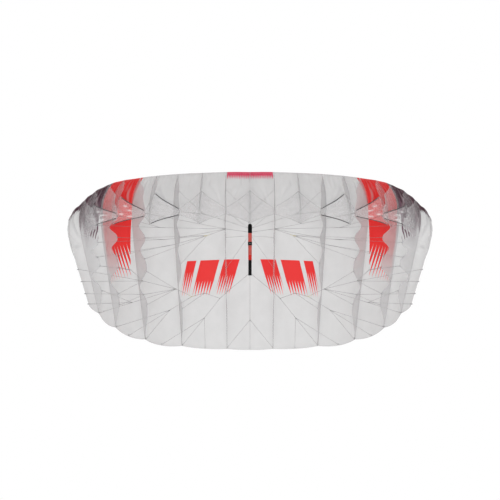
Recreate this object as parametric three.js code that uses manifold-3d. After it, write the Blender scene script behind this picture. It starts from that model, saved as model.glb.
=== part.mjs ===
// A parawing: a single-skin wing of light cloth that is flown from one short bar held in the hand.
// Millimetres. +X is to the right along the span, +Z is up to the leading edge, and +Y runs from the bar
// to the canopy. The origin is on the bar's axis, near its middle. Both halves of the wing are alike.
import * as THREE from "three";
import { mergeVertices } from "three/addons/utils/BufferGeometryUtils.js";
import Module from "manifold-3d";

const wasm = await Module();
wasm.setup();

// Cloth and clearances, and how close two points are welded into one
const CLOTH = 1.0;
const GAP = 0.3;
const SEAM_INSET = 0.2;
const WELD = 1e-4;

// The canopy's chord lines: the leading and trailing edge at the middle, each seam and the tip of one half.
// depth is how far the chord lies in front of the bar, lean how far the cloth has turned to the side,
// camber a share of the section's full camber, and rib a share of the full rib height.
const stations = [
  { leX: 0, leZ: 571, teX: 0, teZ: -724, depth: 1520, lean: 0, camber: 1, rib: 0.75 },
  { leX: 175, leZ: 570, teX: 168, teZ: -723, depth: 1512, lean: 7, camber: 1, rib: 0.75 },
  { leX: 523, leZ: 552, teX: 494, teZ: -697, depth: 1447, lean: 24, camber: 1, rib: 0.85 },
  { leX: 783, leZ: 513, teX: 748, teZ: -637, depth: 1254, lean: 47, camber: 1, rib: 1 },
  { leX: 973, leZ: 454, teX: 931, teZ: -537, depth: 991, lean: 62, camber: 1, rib: 1 },
  { leX: 1122, leZ: 334, teX: 1025, teZ: -429, depth: 775, lean: 71, camber: 0.9, rib: 0.93 },
  { leX: 1205, leZ: 200, teX: 1072, teZ: -370, depth: 620, lean: 78, camber: 0.5, rib: 0.5 },
];
const TIP = stations.length - 1;
const RIBS = TIP - 1;

// The section: camber as a share of the chord, quickly up behind the nose and evenly down to the rear
const CAMBER = 0.131;
const NOSE_LENGTH = 0.12;
const NOSE_POWER = 1.1;

// Each cell balloons between its seams, its rear edge is a shallow scallop, and near the nose of the
// outer cells the cloth is gathered into a few soft folds. edges is the balloon's share that is left at
// the leading and trailing edge, and the two powers say how far forward it and the scallop reach.
const BALLOON = { rise: 30, edges: 0.45, power: 0.6 };
const SCALLOP = { inner: 8, outer: 17, tip: 4, power: 4 };
const FOLD = { firstCell: 2, depth: 6, count: 2.5, reach: 0.1 };

// Rows of the chord, from the leading edge (0) to the trailing edge (1)
const chordRows = [0, 0.03, 0.06, 0.1, 0.16, 0.22, 0.29, 0.37, 0.45, 0.53, 0.61, 0.68, 0.76, 0.84, 0.92, 1];
const COLUMNS = { inner: 6, outer: 8 };

// The free edge of a full rib stands off the canopy: high at the tabs that take lines, low between them
const ribEdge = [
  { at: 0, height: 12 },
  { at: 0.1, height: 105 },
  { at: 0.22, height: 142 },
  { at: 0.3, height: 70 },
  { at: 0.37, height: 124 },
  { at: 0.45, height: 62 },
  { at: 0.54, height: 108 },
  { at: 0.68, height: 14 },
  { at: 0.78, height: 66 },
  { at: 1, height: 8 },
];
const RIB_STEPS = 2;

// A short nose rib in the middle of each cell but the last; the fold of the diagonal rib runs along its edge
const noseEdge = [
  { at: 0, height: 8 },
  { at: 0.03, height: 42 },
  { at: 0.06, height: 60 },
  { at: 0.1, height: 56 },
  { at: 0.16, height: 26 },
  { at: 0.205, height: 5 },
];

// A diagonal rib: two triangles from the tabs of the full ribs beside it to the middle of the cell
const diagonalBase = [
  { at: 0.1, stand: 56 },
  { at: 0.16, stand: 26 },
  { at: 0.22, stand: 0 },
  { at: 0.29, stand: 0 },
];
const diagonalTab = { from: 0.2, to: 0.24, reach: 0.93, aside: 1.4 };

// The bar, along Z with its front end up: where each piece starts and ends, and its radius
const BAR = { front: 163, capFrom: 105, ringFrom: 29, ringTo: 51, redFrom: -30, gripFrom: -62, rear: -158 };
const BAR_RADIUS = { cap: 12.7, upper: 11.6, ring: 13.6, lower: 11.2, band: 11, grip: 10.4 };
const BAR_SIDES = 20;

// Lines
const LINE_RADIUS = 0.8;
const LINE_SIDES = 5;
const KNOT_RADIUS = 2.6;

// A line's middle ends this far from cloth; REAR is a place just before the trailing edge, and EDGE one
// just inside the tip's edge
const LINE_CLEAR = 1.12;
const REAR = 0.992;
const EDGE = 5.985;

// Looks
const clothLight = { color: 0xd8d6d6, roughness: 0.62, metalness: 0 };
const clothShade = { color: 0xc4c2c3, roughness: 0.62, metalness: 0 };
const lineGrey = { color: 0x8c8a88, roughness: 0.7, metalness: 0 };
const barBlack = { color: 0x16161a, roughness: 0.55, metalness: 0 };
const barRed = { color: 0xd0453a, roughness: 0.45, metalness: 0 };
const barDeepRed = { color: 0xb8251d, roughness: 0.5, metalness: 0 };

const wing = new THREE.Group();

function add(name, geometry, look) {
  const mesh = new THREE.Mesh(geometry, new THREE.MeshStandardMaterial(look));
  mesh.name = name;
  wing.add(mesh);
}

// A value of the stations' table at any place along the span, smooth through the stations
function station(span, column) {
  const odd = column === "leX" || column === "teX" || column === "lean";
  const value = (i) => {
    const row = stations[Math.min(Math.abs(i), TIP)];
    return odd && i < 0 ? -row[column] : row[column];
  };
  const side = odd && span < 0 ? -1 : 1;
  const place = Math.abs(span);
  const i = Math.min(Math.floor(place), TIP - 1);
  const u = place - i;
  const before = value(i - 1);
  const from = value(i);
  const to = value(i + 1);
  const after = i + 2 > TIP ? 2 * to - from : value(i + 2);
  const bend = 2 * before - 5 * from + 4 * to - after;
  const twist = -before + 3 * from - 3 * to + after;
  return side * 0.5 * (2 * from + u * (to - before + u * (bend + u * twist)));
}

// A height from a table of places and heights, in even waves between its rows
function wave(table, at) {
  const last = table.length - 1;
  const i = Math.min(Math.max(table.findIndex((row) => row.at >= at), 1), last);
  const low = table[i - 1];
  const high = table[i];
  const u = Math.min(Math.max((at - low.at) / (high.at - low.at), 0), 1);
  return low.height + (high.height - low.height) * u * u * (3 - 2 * u);
}

function outward(span) {
  const lean = THREE.MathUtils.degToRad(station(span, "lean"));
  return new THREE.Vector3(Math.sin(lean), Math.cos(lean), 0);
}

// How far across its cell a place of the span lies, 0 at one seam and 1 at the next
function across(span) {
  const place = Math.abs(span);
  return place < 1 ? (place + 1) / 2 : Math.min(place - Math.floor(place), 1);
}

function camberAt(at) {
  return CAMBER * (1 - at) * (1 - Math.exp(-((at / NOSE_LENGTH) ** NOSE_POWER)));
}

// The middle of the canopy's cloth at a place of the span (0 to 6, a side by its sign) and of the chord
function canopy(span, at) {
  const leading = new THREE.Vector3(station(span, "leX"), station(span, "depth"), station(span, "leZ"));
  const trailing = new THREE.Vector3(station(span, "teX"), station(span, "depth"), station(span, "teZ"));
  const chord = trailing.clone().sub(leading);
  const length = chord.length();
  const u = across(span);
  const arch = 4 * u * (1 - u);
  const outer = Math.abs(span) > FOLD.firstCell;
  const edge = Math.abs(span) > RIBS ? SCALLOP.tip : outer ? SCALLOP.outer : SCALLOP.inner;
  const scallop = edge * arch * at ** SCALLOP.power;
  const gather = Math.cos(2 * Math.PI * FOLD.count * u) * Math.exp(-at / FOLD.reach);
  const fold = outer ? FOLD.depth * arch * gather : 0;
  const swell = BALLOON.edges + (1 - BALLOON.edges) * Math.sin(Math.PI * at ** BALLOON.power);
  const balloon = BALLOON.rise * arch * swell;
  const stand = camberAt(at) * length * station(span, "camber") + balloon + fold;
  return leading.addScaledVector(chord, at + scallop / length).addScaledVector(outward(span), stand);
}

// The same on the flat facets between the chord's rows
function faceted(span, at) {
  const last = chordRows.length - 1;
  const i = Math.min(Math.max(chordRows.findIndex((row) => row >= at), 1), last);
  const u = (at - chordRows[i - 1]) / (chordRows[i] - chordRows[i - 1]);
  return canopy(span, chordRows[i - 1]).lerp(canopy(span, chordRows[i]), u);
}

function sideways(span, at) {
  const step = 0.02;
  const chord = canopy(span, Math.min(at + step, 1)).sub(canopy(span, Math.max(at - step, 0)));
  return new THREE.Vector3().crossVectors(chord, outward(span)).normalize();
}

// A closed sheet from rows of points on its middle and the directions of its thickness
function sheet(points, facing) {
  const rows = points.length;
  const columns = points[0].length;
  const positions = [];
  for (const side of [0.5, -0.5]) {
    for (let i = 0; i < rows; i++) {
      for (let j = 0; j < columns; j++) {
        positions.push(...points[i][j].clone().addScaledVector(facing[i][j], side * CLOTH).toArray());
      }
    }
  }
  const top = (i, j) => i * columns + j;
  const under = (i, j) => rows * columns + top(i, j);
  const index = [];
  const quad = (a, b, c, d) => index.push(a, b, c, a, c, d);
  for (let i = 0; i + 1 < rows; i++) {
    for (let j = 0; j + 1 < columns; j++) {
      quad(top(i, j), top(i, j + 1), top(i + 1, j + 1), top(i + 1, j));
      quad(under(i, j), under(i + 1, j), under(i + 1, j + 1), under(i, j + 1));
    }
    quad(top(i, 0), top(i + 1, 0), under(i + 1, 0), under(i, 0));
    quad(top(i, columns - 1), under(i, columns - 1), under(i + 1, columns - 1), top(i + 1, columns - 1));
  }
  for (let j = 0; j + 1 < columns; j++) {
    quad(top(0, j), under(0, j), under(0, j + 1), top(0, j + 1));
    quad(top(rows - 1, j), top(rows - 1, j + 1), under(rows - 1, j + 1), under(rows - 1, j));
  }
  return facingOut(positions, index);
}

function facingOut(positions, index) {
  const corner = (i) => new THREE.Vector3().fromArray(positions, 3 * index[i]);
  let volume = 0;
  for (let i = 0; i < index.length; i += 3) {
    volume += corner(i).dot(corner(i + 1).cross(corner(i + 2)));
  }
  const geometry = new THREE.BufferGeometry();
  geometry.setAttribute("position", new THREE.Float32BufferAttribute(positions, 3));
  geometry.setIndex(volume > 0 ? index : index.slice().reverse());
  return geometry;
}

// Directions of thickness square to a grid of points, the same for both sheets at a fold
function squareTo(points) {
  const within = (value, count) => Math.min(Math.max(value, 0), count - 1);
  const at = (i, j) => points[within(i, points.length)][within(j, points[0].length)];
  return points.map((row, i) =>
    row.map((_, j) => {
      const along = at(i + 1, j).clone().sub(at(i - 1, j));
      const over = at(i, j + 1).clone().sub(at(i, j - 1));
      return along.cross(over).normalize();
    }),
  );
}

const sideName = (side) => (side < 0 ? "left" : "right");

// Canopy panels
function panel(from, to, columns) {
  const width = canopy(to, 0.5).distanceTo(canopy(from, 0.5));
  const inset = (SEAM_INSET * (to - from)) / width;
  const spans = Array.from({ length: columns + 1 }, (_, j) => {
    const exact = from + ((to - from) * j) / columns;
    return THREE.MathUtils.clamp(exact, from + inset, to - inset);
  });
  const points = chordRows.map((at) => spans.map((span) => canopy(span, at)));
  const facing = chordRows.map(() => spans.map((span) => outward(span)));
  return sheet(points, facing);
}

// A rib that stands off the canopy along one place of the span
function standing(span, rows, heightAt) {
  const root = CLOTH / 2 + GAP;
  const inward = outward(span).negate();
  const points = rows.map((at) => {
    const seam = faceted(span, at);
    return [root, root + heightAt(at)].map((height) => seam.clone().addScaledVector(inward, height));
  });
  const facing = rows.map((at) => [sideways(span, at), sideways(span, at)]);
  return sheet(points, facing);
}

const ribRows = chordRows.slice(1).flatMap((to, i) => {
  const from = chordRows[i];
  return Array.from({ length: RIB_STEPS }, (_, k) => from + ((to - from) * (k + 1)) / RIB_STEPS);
});
ribRows.unshift(0);

function ribHeight(span, at) {
  return station(span, "rib") * wave(ribEdge, at);
}

function tabPoint(span, at, height) {
  return faceted(span, at).addScaledVector(outward(span), -(CLOTH / 2 + GAP + height));
}

// The edge of a triangle beside a full rib's tab, a little aside from the rib's cloth
function diagonalApex(span, middle, share) {
  const at = diagonalTab.from + (diagonalTab.to - diagonalTab.from) * share;
  const toward = faceted(middle, at).sub(faceted(span, at));
  const square = sideways(span, at);
  const aside = Math.sign(square.dot(toward)) * diagonalTab.aside;
  const height = diagonalTab.reach * ribHeight(Math.abs(span), at);
  return tabPoint(span, at, height).addScaledVector(square, aside);
}

function diagonalRib(from, middle, to) {
  const points = diagonalBase.map(({ at, stand }, i) => {
    const share = i / (diagonalBase.length - 1);
    const first = diagonalApex(from, middle, share);
    const last = diagonalApex(to, middle, share);
    const fold = tabPoint(middle, at, stand + CLOTH / 2 + GAP);
    return [first, first.clone().lerp(fold, 0.5), fold, fold.clone().lerp(last, 0.5), last];
  });
  return sheet(points, squareTo(points));
}

function noseRib(span) {
  return standing(span, noseEdge.map((row) => row.at), (at) => wave(noseEdge, at));
}

add("canopy_cell_centre", panel(-1, 1, 8), clothLight);
add("nose_rib_centre", noseRib(0), clothShade);
add("diagonal_rib_centre", diagonalRib(-1, 0, 1), clothShade);
for (const side of [-1, 1]) {
  const name = sideName(side);
  for (let i = 1; i <= RIBS; i++) {
    const ends = [side * i, side * (i + 1)];
    const middle = side * (i + 0.5);
    const tip = i === RIBS;
    const columns = i < FOLD.firstCell || tip ? COLUMNS.inner : COLUMNS.outer;
    const cell = tip ? "canopy_tip_strip" : `canopy_cell_${i + 1}`;
    add(`${cell}_${name}`, panel(Math.min(...ends), Math.max(...ends), columns), clothLight);
    add(`rib_${i}_${name}`, standing(side * i, ribRows, (at) => ribHeight(i, at)), clothShade);
    if (!tip) {
      add(`nose_rib_${i + 1}_${name}`, noseRib(middle), clothShade);
      add(`diagonal_rib_${i + 1}_${name}`, diagonalRib(ends[0], middle, ends[1]), clothShade);
    }
  }
}

// Bar pieces, turned about Z
function turned(profile) {
  const lathe = new THREE.LatheGeometry(profile.map(([r, z]) => new THREE.Vector2(r, z)), BAR_SIDES);
  lathe.deleteAttribute("normal");
  lathe.deleteAttribute("uv");
  lathe.rotateX(Math.PI / 2);
  return mergeVertices(lathe, WELD);
}

function barPiece(name, from, to, radius, look) {
  const edge = 1.2;
  const rim = radius - edge;
  const profile = [[0, from], [rim, from], [radius, from + edge], [radius, to - edge], [rim, to], [0, to]];
  add(name, turned(profile), look);
}

const domeSteps = 5;
const domeFoot = BAR.front - BAR_RADIUS.cap;
const dome = Array.from({ length: domeSteps }, (_, i) => {
  const turn = ((i + 1) / domeSteps) * (Math.PI / 2);
  const r = i + 1 === domeSteps ? 0 : BAR_RADIUS.cap * Math.cos(turn);
  return [r, domeFoot + BAR_RADIUS.cap * Math.sin(turn)];
});
const capFoot = BAR.capFrom + GAP;
const capProfile = [[0, capFoot], [BAR_RADIUS.cap, capFoot], [BAR_RADIUS.cap, domeFoot], ...dome];
add("bar_front_cap", turned(capProfile), barBlack);
barPiece("bar_upper_sleeve", BAR.ringTo + GAP, BAR.capFrom, BAR_RADIUS.upper, barRed);
barPiece("bar_ring", BAR.ringFrom, BAR.ringTo, BAR_RADIUS.ring, barBlack);
barPiece("bar_lower_sleeve", BAR.redFrom + GAP, BAR.ringFrom - GAP, BAR_RADIUS.lower, barRed);
barPiece("bar_deep_red_band", BAR.gripFrom + GAP, BAR.redFrom, BAR_RADIUS.band, barDeepRed);
barPiece("bar_rear_grip", BAR.rear, BAR.gripFrom, BAR_RADIUS.grip, barBlack);

// Line trees: where the lines split, on the right half
const forks = {
  frontMiddle: { x: 0, y: 350, z: 233 },
  frontInner: { x: 205, y: 566, z: 208 },
  frontHalf: { x: 320, y: 880, z: 247 },
  frontLead: { x: 152, y: 160, z: 133 },
  frontFan: { x: 276, y: 290, z: 93 },
  fanFirst: { x: 600, y: 640, z: 150 },
  fanSecond: { x: 571, y: 600, z: 70 },
  fanThird: { x: 515, y: 540, z: 33 },
  rearLead: { x: 140, y: 215, z: -261 },
  rearSplit: { x: 193, y: 295, z: -311 },
  rearBrake: { x: 312, y: 872, z: -465 },
  rearOut: { x: 292, y: 377, z: -279 },
  rearRun: { x: 381, y: 493, z: -305 },
  rearEdge: { x: 537, y: 695, z: -403 },
  rearKnot: { x: 485, y: 475, z: -256 },
  tipFan: { x: 708, y: 567, z: -205 },
  tipLow: { x: 696, y: 497, z: -292 },
  tipCorner: { x: 780, y: 557, z: -347 },
  tipHigh: { x: 799, y: 700, z: -134 },
  rearMiddle: { x: 0, y: 863, z: -478 },
};

// A line's end on the bar: around it from +Y towards the side, and its height
const ties = {
  topMiddle: { turn: 0, z: 146 },
  topInner: { turn: 48, z: 136 },
  topOuter: { turn: 60, z: 112 },
  topSecond: { turn: 32, z: 88 },
  rearOuter: { turn: 50, z: -150 },
  rearMiddle: { turn: 0, z: -152 },
};

function forkPoint(name, side) {
  return new THREE.Vector3(side * forks[name].x, forks[name].y, forks[name].z);
}

function tiePoint(name, side) {
  const { turn, z } = ties[name];
  const angle = THREE.MathUtils.degToRad(turn);
  const over = Math.sin(angle);
  const back = Math.cos(angle);
  const sleeve = z > BAR.capFrom ? "cap" : z > BAR.ringTo ? "upper" : "grip";
  const radius = BAR_RADIUS[sleeve] + GAP + KNOT_RADIUS * Math.max(over, back);
  return new THREE.Vector3(side * radius * over, radius * back, z);
}

// A line's end on a rib's tab, or on the cloth itself at a cell's middle or an edge
function tabEnd(span, at) {
  return tabPoint(span, at, ribHeight(Math.abs(span), at) + LINE_CLEAR);
}

function clothEnd(span, at) {
  return faceted(span, at).addScaledVector(outward(span), -(CLOTH / 2 + LINE_CLEAR));
}

function solidOf(geometry) {
  geometry.deleteAttribute("normal");
  geometry.deleteAttribute("uv");
  const merged = mergeVertices(geometry, WELD);
  const vertProperties = new Float32Array(merged.attributes.position.array);
  const triVerts = new Uint32Array(merged.index.array);
  return new wasm.Manifold(new wasm.Mesh({ numProp: 3, vertProperties, triVerts }));
}

function strand(from, to) {
  const run = to.clone().sub(from);
  const tube = new THREE.CylinderGeometry(LINE_RADIUS, LINE_RADIUS, run.length(), LINE_SIDES);
  const up = new THREE.Vector3(0, 1, 0);
  tube.applyQuaternion(new THREE.Quaternion().setFromUnitVectors(up, run.clone().normalize()));
  const middle = from.clone().add(to).multiplyScalar(0.5);
  tube.translate(middle.x, middle.y, middle.z);
  return solidOf(tube);
}

function knot(place) {
  const ball = new THREE.OctahedronGeometry(KNOT_RADIUS);
  ball.translate(place.x, place.y, place.z);
  return solidOf(ball);
}

// One closed body of straight taut lines, from rows of a place and the ends that lines run to from it,
// with a knot at each such place
function lineTree(rows) {
  let tree = null;
  const join = (solid) => {
    tree = tree ? tree.add(solid) : solid;
  };
  for (const { from, to } of rows) {
    for (const end of to) {
      join(strand(from, end));
    }
    join(knot(from));
  }
  const { vertProperties, triVerts } = tree.getMesh();
  const geometry = new THREE.BufferGeometry();
  geometry.setAttribute("position", new THREE.BufferAttribute(new Float32Array(vertProperties), 3));
  geometry.setIndex(new THREE.BufferAttribute(new Uint32Array(triVerts), 1));
  return geometry;
}

const noseTabs = [tabEnd(-1, 0.1), tabEnd(1, 0.1)];
const frontCentre = [
  { from: tiePoint("topMiddle", 1), to: [forkPoint("frontMiddle", 1)] },
  { from: forkPoint("frontMiddle", 1), to: noseTabs },
];
add("line_front_centre", lineTree(frontCentre), lineGrey);
const rearTabs = [tabEnd(-1, REAR), clothEnd(0, REAR), tabEnd(1, REAR)];
const rearCentre = [
  { from: tiePoint("rearMiddle", 1), to: [forkPoint("rearMiddle", 1)] },
  { from: forkPoint("rearMiddle", 1), to: rearTabs },
];
add("line_rear_centre", lineTree(rearCentre), lineGrey);

for (const side of [-1, 1]) {
  const fork = (name) => forkPoint(name, side);
  const tie = (name) => tiePoint(name, side);
  const tab = (rib, at) => tabEnd(side * rib, at);
  const cloth = (span, at) => clothEnd(side * span, at);
  const trees = {
    front_inner: [
      { from: tie("topInner"), to: [fork("frontInner"), tab(1, 0.22)] },
      { from: fork("frontInner"), to: [fork("frontHalf")] },
      { from: fork("frontHalf"), to: [tab(2, 0.22), tab(2, 0.1)] },
    ],
    second_inner: [{ from: tie("topSecond"), to: [tab(1, 0.37), tab(1, 0.54)] }],
    front_outer: [
      { from: tie("topOuter"), to: [fork("frontLead")] },
      { from: fork("frontLead"), to: [fork("frontFan"), tab(2, 0.37), tab(3, 0.22), fork("fanFirst")] },
      { from: fork("fanFirst"), to: [tab(4, 0.22), tab(5, 0.22)] },
      { from: fork("frontFan"), to: [tab(2, 0.52), tab(3, 0.37), tab(3, 0.5)] },
      { from: fork("frontFan"), to: [fork("fanSecond"), fork("fanThird")] },
      { from: fork("fanSecond"), to: [tab(4, 0.37), tab(5, 0.37)] },
      { from: fork("fanThird"), to: [tab(4, 0.5), tab(5, 0.5)] },
    ],
    rear_outer: [
      { from: tie("rearOuter"), to: [fork("rearLead")] },
      { from: fork("rearLead"), to: [fork("rearSplit")] },
      { from: fork("rearSplit"), to: [fork("rearBrake"), fork("rearOut")] },
      { from: fork("rearBrake"), to: [cloth(1.5, REAR), tab(2, REAR), cloth(2.5, REAR)] },
      { from: fork("rearOut"), to: [tab(2, 0.78), fork("rearRun")] },
      { from: fork("rearRun"), to: [fork("rearEdge"), fork("rearKnot")] },
      { from: fork("rearEdge"), to: [tab(3, REAR), cloth(3.5, REAR), tab(4, REAR)] },
      { from: fork("rearKnot"), to: [tab(3, 0.58), tab(3, 0.78)] },
      { from: fork("rearKnot"), to: [fork("tipFan"), fork("tipLow"), fork("tipCorner")] },
      { from: fork("tipFan"), to: [fork("tipHigh"), cloth(EDGE, 0.58), cloth(EDGE, 0.72), tab(4, 0.76)] },
      { from: fork("tipHigh"), to: [tab(4, 0.58), tab(5, 0.58)] },
      { from: fork("tipLow"), to: [cloth(EDGE, 0.86), tab(4, 0.84)] },
      { from: fork("tipCorner"), to: [tab(5, 0.8), cloth(EDGE, 0.98), tab(5, REAR)] },
    ],
  };
  for (const [name, rows] of Object.entries(trees)) {
    add(`line_${name}_${sideName(side)}`, lineTree(rows), lineGrey);
  }
}

export default wing;
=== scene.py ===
import math

import bmesh
import bpy
import numpy as np
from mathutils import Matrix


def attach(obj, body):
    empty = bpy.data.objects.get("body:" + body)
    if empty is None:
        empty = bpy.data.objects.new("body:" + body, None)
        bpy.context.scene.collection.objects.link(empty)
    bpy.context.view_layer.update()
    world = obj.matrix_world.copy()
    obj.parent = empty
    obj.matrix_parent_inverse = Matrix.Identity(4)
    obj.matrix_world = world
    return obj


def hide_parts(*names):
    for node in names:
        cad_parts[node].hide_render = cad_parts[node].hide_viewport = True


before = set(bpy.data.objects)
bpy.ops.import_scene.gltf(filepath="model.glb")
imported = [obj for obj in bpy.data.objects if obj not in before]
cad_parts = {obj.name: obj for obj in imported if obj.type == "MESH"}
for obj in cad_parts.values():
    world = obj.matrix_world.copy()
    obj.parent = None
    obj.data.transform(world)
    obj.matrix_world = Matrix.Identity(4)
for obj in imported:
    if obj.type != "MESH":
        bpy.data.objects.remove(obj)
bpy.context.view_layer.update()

# The view and the studio. The wing flies upright before a plain white ground, seen from the flyer's side
# through a long lens at the height of the bar. The light is soft, from all round, and from above and low in
# front.
CAMERA_BACK = 8.48
LENS = 98.4
FLOOR_DEPTH = 2.6
FLOOR_RADIUS = 5.3
AMBIENT = 0.95
SOFT_LIGHTS = (
    {"name": "light_above", "place": (0, -2.6, 4.6), "size": 2.4, "power": 70},
    {"name": "light_front", "place": (0, -7.0, -1.8), "size": 1.6, "power": 125},
)
WHITE = (1, 1, 1, 1)

scene = bpy.context.scene
scene.view_settings.view_transform = "Standard"
scene.cycles.transparent_max_bounces = 32

bpy.ops.object.camera_add(location=(0, -CAMERA_BACK, 0), rotation=(math.radians(90), 0, 0))
scene.camera = bpy.context.object
scene.camera.data.lens = LENS
scene.camera.data.sensor_width = 36
scene.camera.data.clip_end = 60

for light in SOFT_LIGHTS:
    bpy.ops.object.light_add(type="AREA", location=light["place"])
    lamp = bpy.context.object
    lamp.name = light["name"]
    lamp.data.size = light["size"]
    lamp.data.energy = light["power"]
    lamp.rotation_euler = (-lamp.location).to_track_quat("-Z", "Y").to_euler()

scene.world = bpy.data.worlds.new("studio")
scene.world.use_nodes = True
ground = scene.world.node_tree
ground.nodes["Background"].inputs["Color"].default_value = WHITE
seen = ground.nodes.new("ShaderNodeLightPath")
strength = ground.nodes.new("ShaderNodeMapRange")
strength.inputs["To Min"].default_value = AMBIENT
strength.inputs["To Max"].default_value = 1.0
ground.links.new(seen.outputs["Is Camera Ray"], strength.inputs["Value"])
ground.links.new(strength.outputs["Result"], ground.nodes["Background"].inputs["Strength"])

bpy.ops.object.select_all(action="DESELECT")
bpy.ops.mesh.primitive_circle_add(vertices=96, radius=FLOOR_RADIUS, fill_type="NGON")
floor = bpy.context.object
floor.name = "floor"
floor.data.transform(floor.matrix_world.Translation((0, 0, -FLOOR_DEPTH)))
floor_paint = bpy.data.materials.new("floor_paint")
floor_paint.use_nodes = True
floor_paint.node_tree.nodes["Principled BSDF"].inputs["Base Color"].default_value = (0.9, 0.9, 0.9, 1)
floor_paint.node_tree.nodes["Principled BSDF"].inputs["Roughness"].default_value = 0.7
floor.data.materials.append(floor_paint)

# Canopy panels. Eleven panels of thin coated ripstop, sewn edge to edge over the ribs: a centre cell, four
# cells and a narrow tip strip on each side. Each swells between its seams; the nose and the rear edge are
# turned over and sewn as a hem, and by the tips the cloth is drawn together in folds.
SEAMS = {
    "nose_x": (0, 0.175, 0.523, 0.783, 0.973, 1.122, 1.205),
    "nose_z": (0.571, 0.570, 0.552, 0.513, 0.454, 0.334, 0.200),
    "rear_x": (0, 0.168, 0.494, 0.748, 0.931, 1.025, 1.072),
    "rear_z": (-0.724, -0.723, -0.697, -0.637, -0.537, -0.429, -0.370),
    "depth": (1.520, 1.512, 1.447, 1.254, 0.991, 0.775, 0.620),
    "lean": (0, 7, 24, 47, 62, 71, 78),
    "camber": (1, 1, 1, 1, 1, 0.9, 0.5),
    "rib": (0.75, 0.75, 0.85, 1, 1, 0.93, 0.5),
}
MIRRORED = ("nose_x", "rear_x", "lean")
TIP = 6
RIBS = 5
CAMBER = 0.131
NOSE_LENGTH = 0.12
NOSE_POWER = 1.1
BALLOON = {"rise": 0.030, "edges": 0.45, "tip_edges": 0.2, "power": 0.6}
SCALLOP = {"inner": 0.008, "outer": 0.017, "tip": 0.004, "power": 4}
GATHER = {"from_seam": 2, "depth": 0.006, "count": 2.5, "reach": 0.1}
CLOTH = 0.0005
HEM = 0.0012
NOSE_HEM = 0.012
REAR_HEM = 0.010
SEAM_FOLD = 0.007
ROOT = 0.0005
SEAM_DOUBLED = 0.7
ROW_SPACING = 1.35
FLAT_STEPS = 60
FLAT_SPARE = 1.01
FULL_TURN = 2 * math.pi
WAVES = 6

# Folds that the nose of a cell is drawn into, a row for each: where it starts and ends, as a share of the
# cell's width and metres behind the nose, its width and its height. They fan out from the tabs.
FOLDS = (
    {"from": (0.04, 0.25), "to": (0.20, 0.02), "width": 0.011, "height": 0.0050},
    {"from": (0.05, 0.24), "to": (0.36, 0.05), "width": 0.014, "height": -0.0060},
    {"from": (0.06, 0.27), "to": (0.52, 0.13), "width": 0.013, "height": 0.0050},
    {"from": (0.05, 0.30), "to": (0.46, 0.26), "width": 0.012, "height": -0.0040},
    {"from": (0.96, 0.26), "to": (0.83, 0.03), "width": 0.012, "height": 0.0055},
    {"from": (0.95, 0.25), "to": (0.66, 0.04), "width": 0.013, "height": -0.0060},
    {"from": (0.94, 0.27), "to": (0.55, 0.16), "width": 0.015, "height": 0.0045},
    {"from": (0.95, 0.31), "to": (0.58, 0.33), "width": 0.012, "height": -0.0035},
    {"from": (0.50, 0.00), "to": (0.47, 0.17), "width": 0.010, "height": 0.0045},
    {"from": (0.29, 0.00), "to": (0.33, 0.11), "width": 0.008, "height": -0.0040},
    {"from": (0.72, 0.00), "to": (0.69, 0.13), "width": 0.008, "height": -0.0042},
)
INNER_FOLDS = 0.45
FOLD_SHIFT = 0.03
SEAM_EASE = 0.02
NOSE_EASE = 0.02
PUCKER = {"pitch": 0.024, "height": 0.0008, "off_seam": 0.010, "spread": 0.00012}
SOFT_WAVE = {"height": 0.0016, "size": 0.22}
DRAWN = {"pitch": 0.034, "height": 0.0030, "reach": 0.05}
PLEAT_HEIGHT = 0.006


def along_seams(column, span):
    """A column of SEAMS at any place along the span: 0 in the middle, 1 to 5 at the seams, 6 at the tip."""
    row = np.array(SEAMS[column], float)
    flip = -1 if column in MIRRORED else 1
    ends = np.concatenate([[flip * row[1]], row, [2 * row[-1] - row[-2]]])
    place = np.abs(span)
    i = np.minimum(place.astype(int), TIP - 1)
    u = place - i
    a, b, c, d = (ends[i + k] for k in range(4))
    bend = 2 * a - 5 * b + 4 * c - d
    value = 0.5 * (2 * b + u * (c - a + u * (bend + u * (3 * b - a - 3 * c + d))))
    return np.where(np.asarray(span) < 0, flip * value, value)


def outward(span):
    lean = np.radians(along_seams("lean", span))
    return np.stack([np.sin(lean), np.cos(lean), 0 * lean], -1)


def across(span):
    place = np.abs(span)
    return np.where(place < 1, (place + 1) / 2, np.minimum(place - np.floor(place), 1))


def chord_length(span):
    over = along_seams("nose_x", span) - along_seams("rear_x", span)
    return np.hypot(over, along_seams("nose_z", span) - along_seams("rear_z", span))


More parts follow.
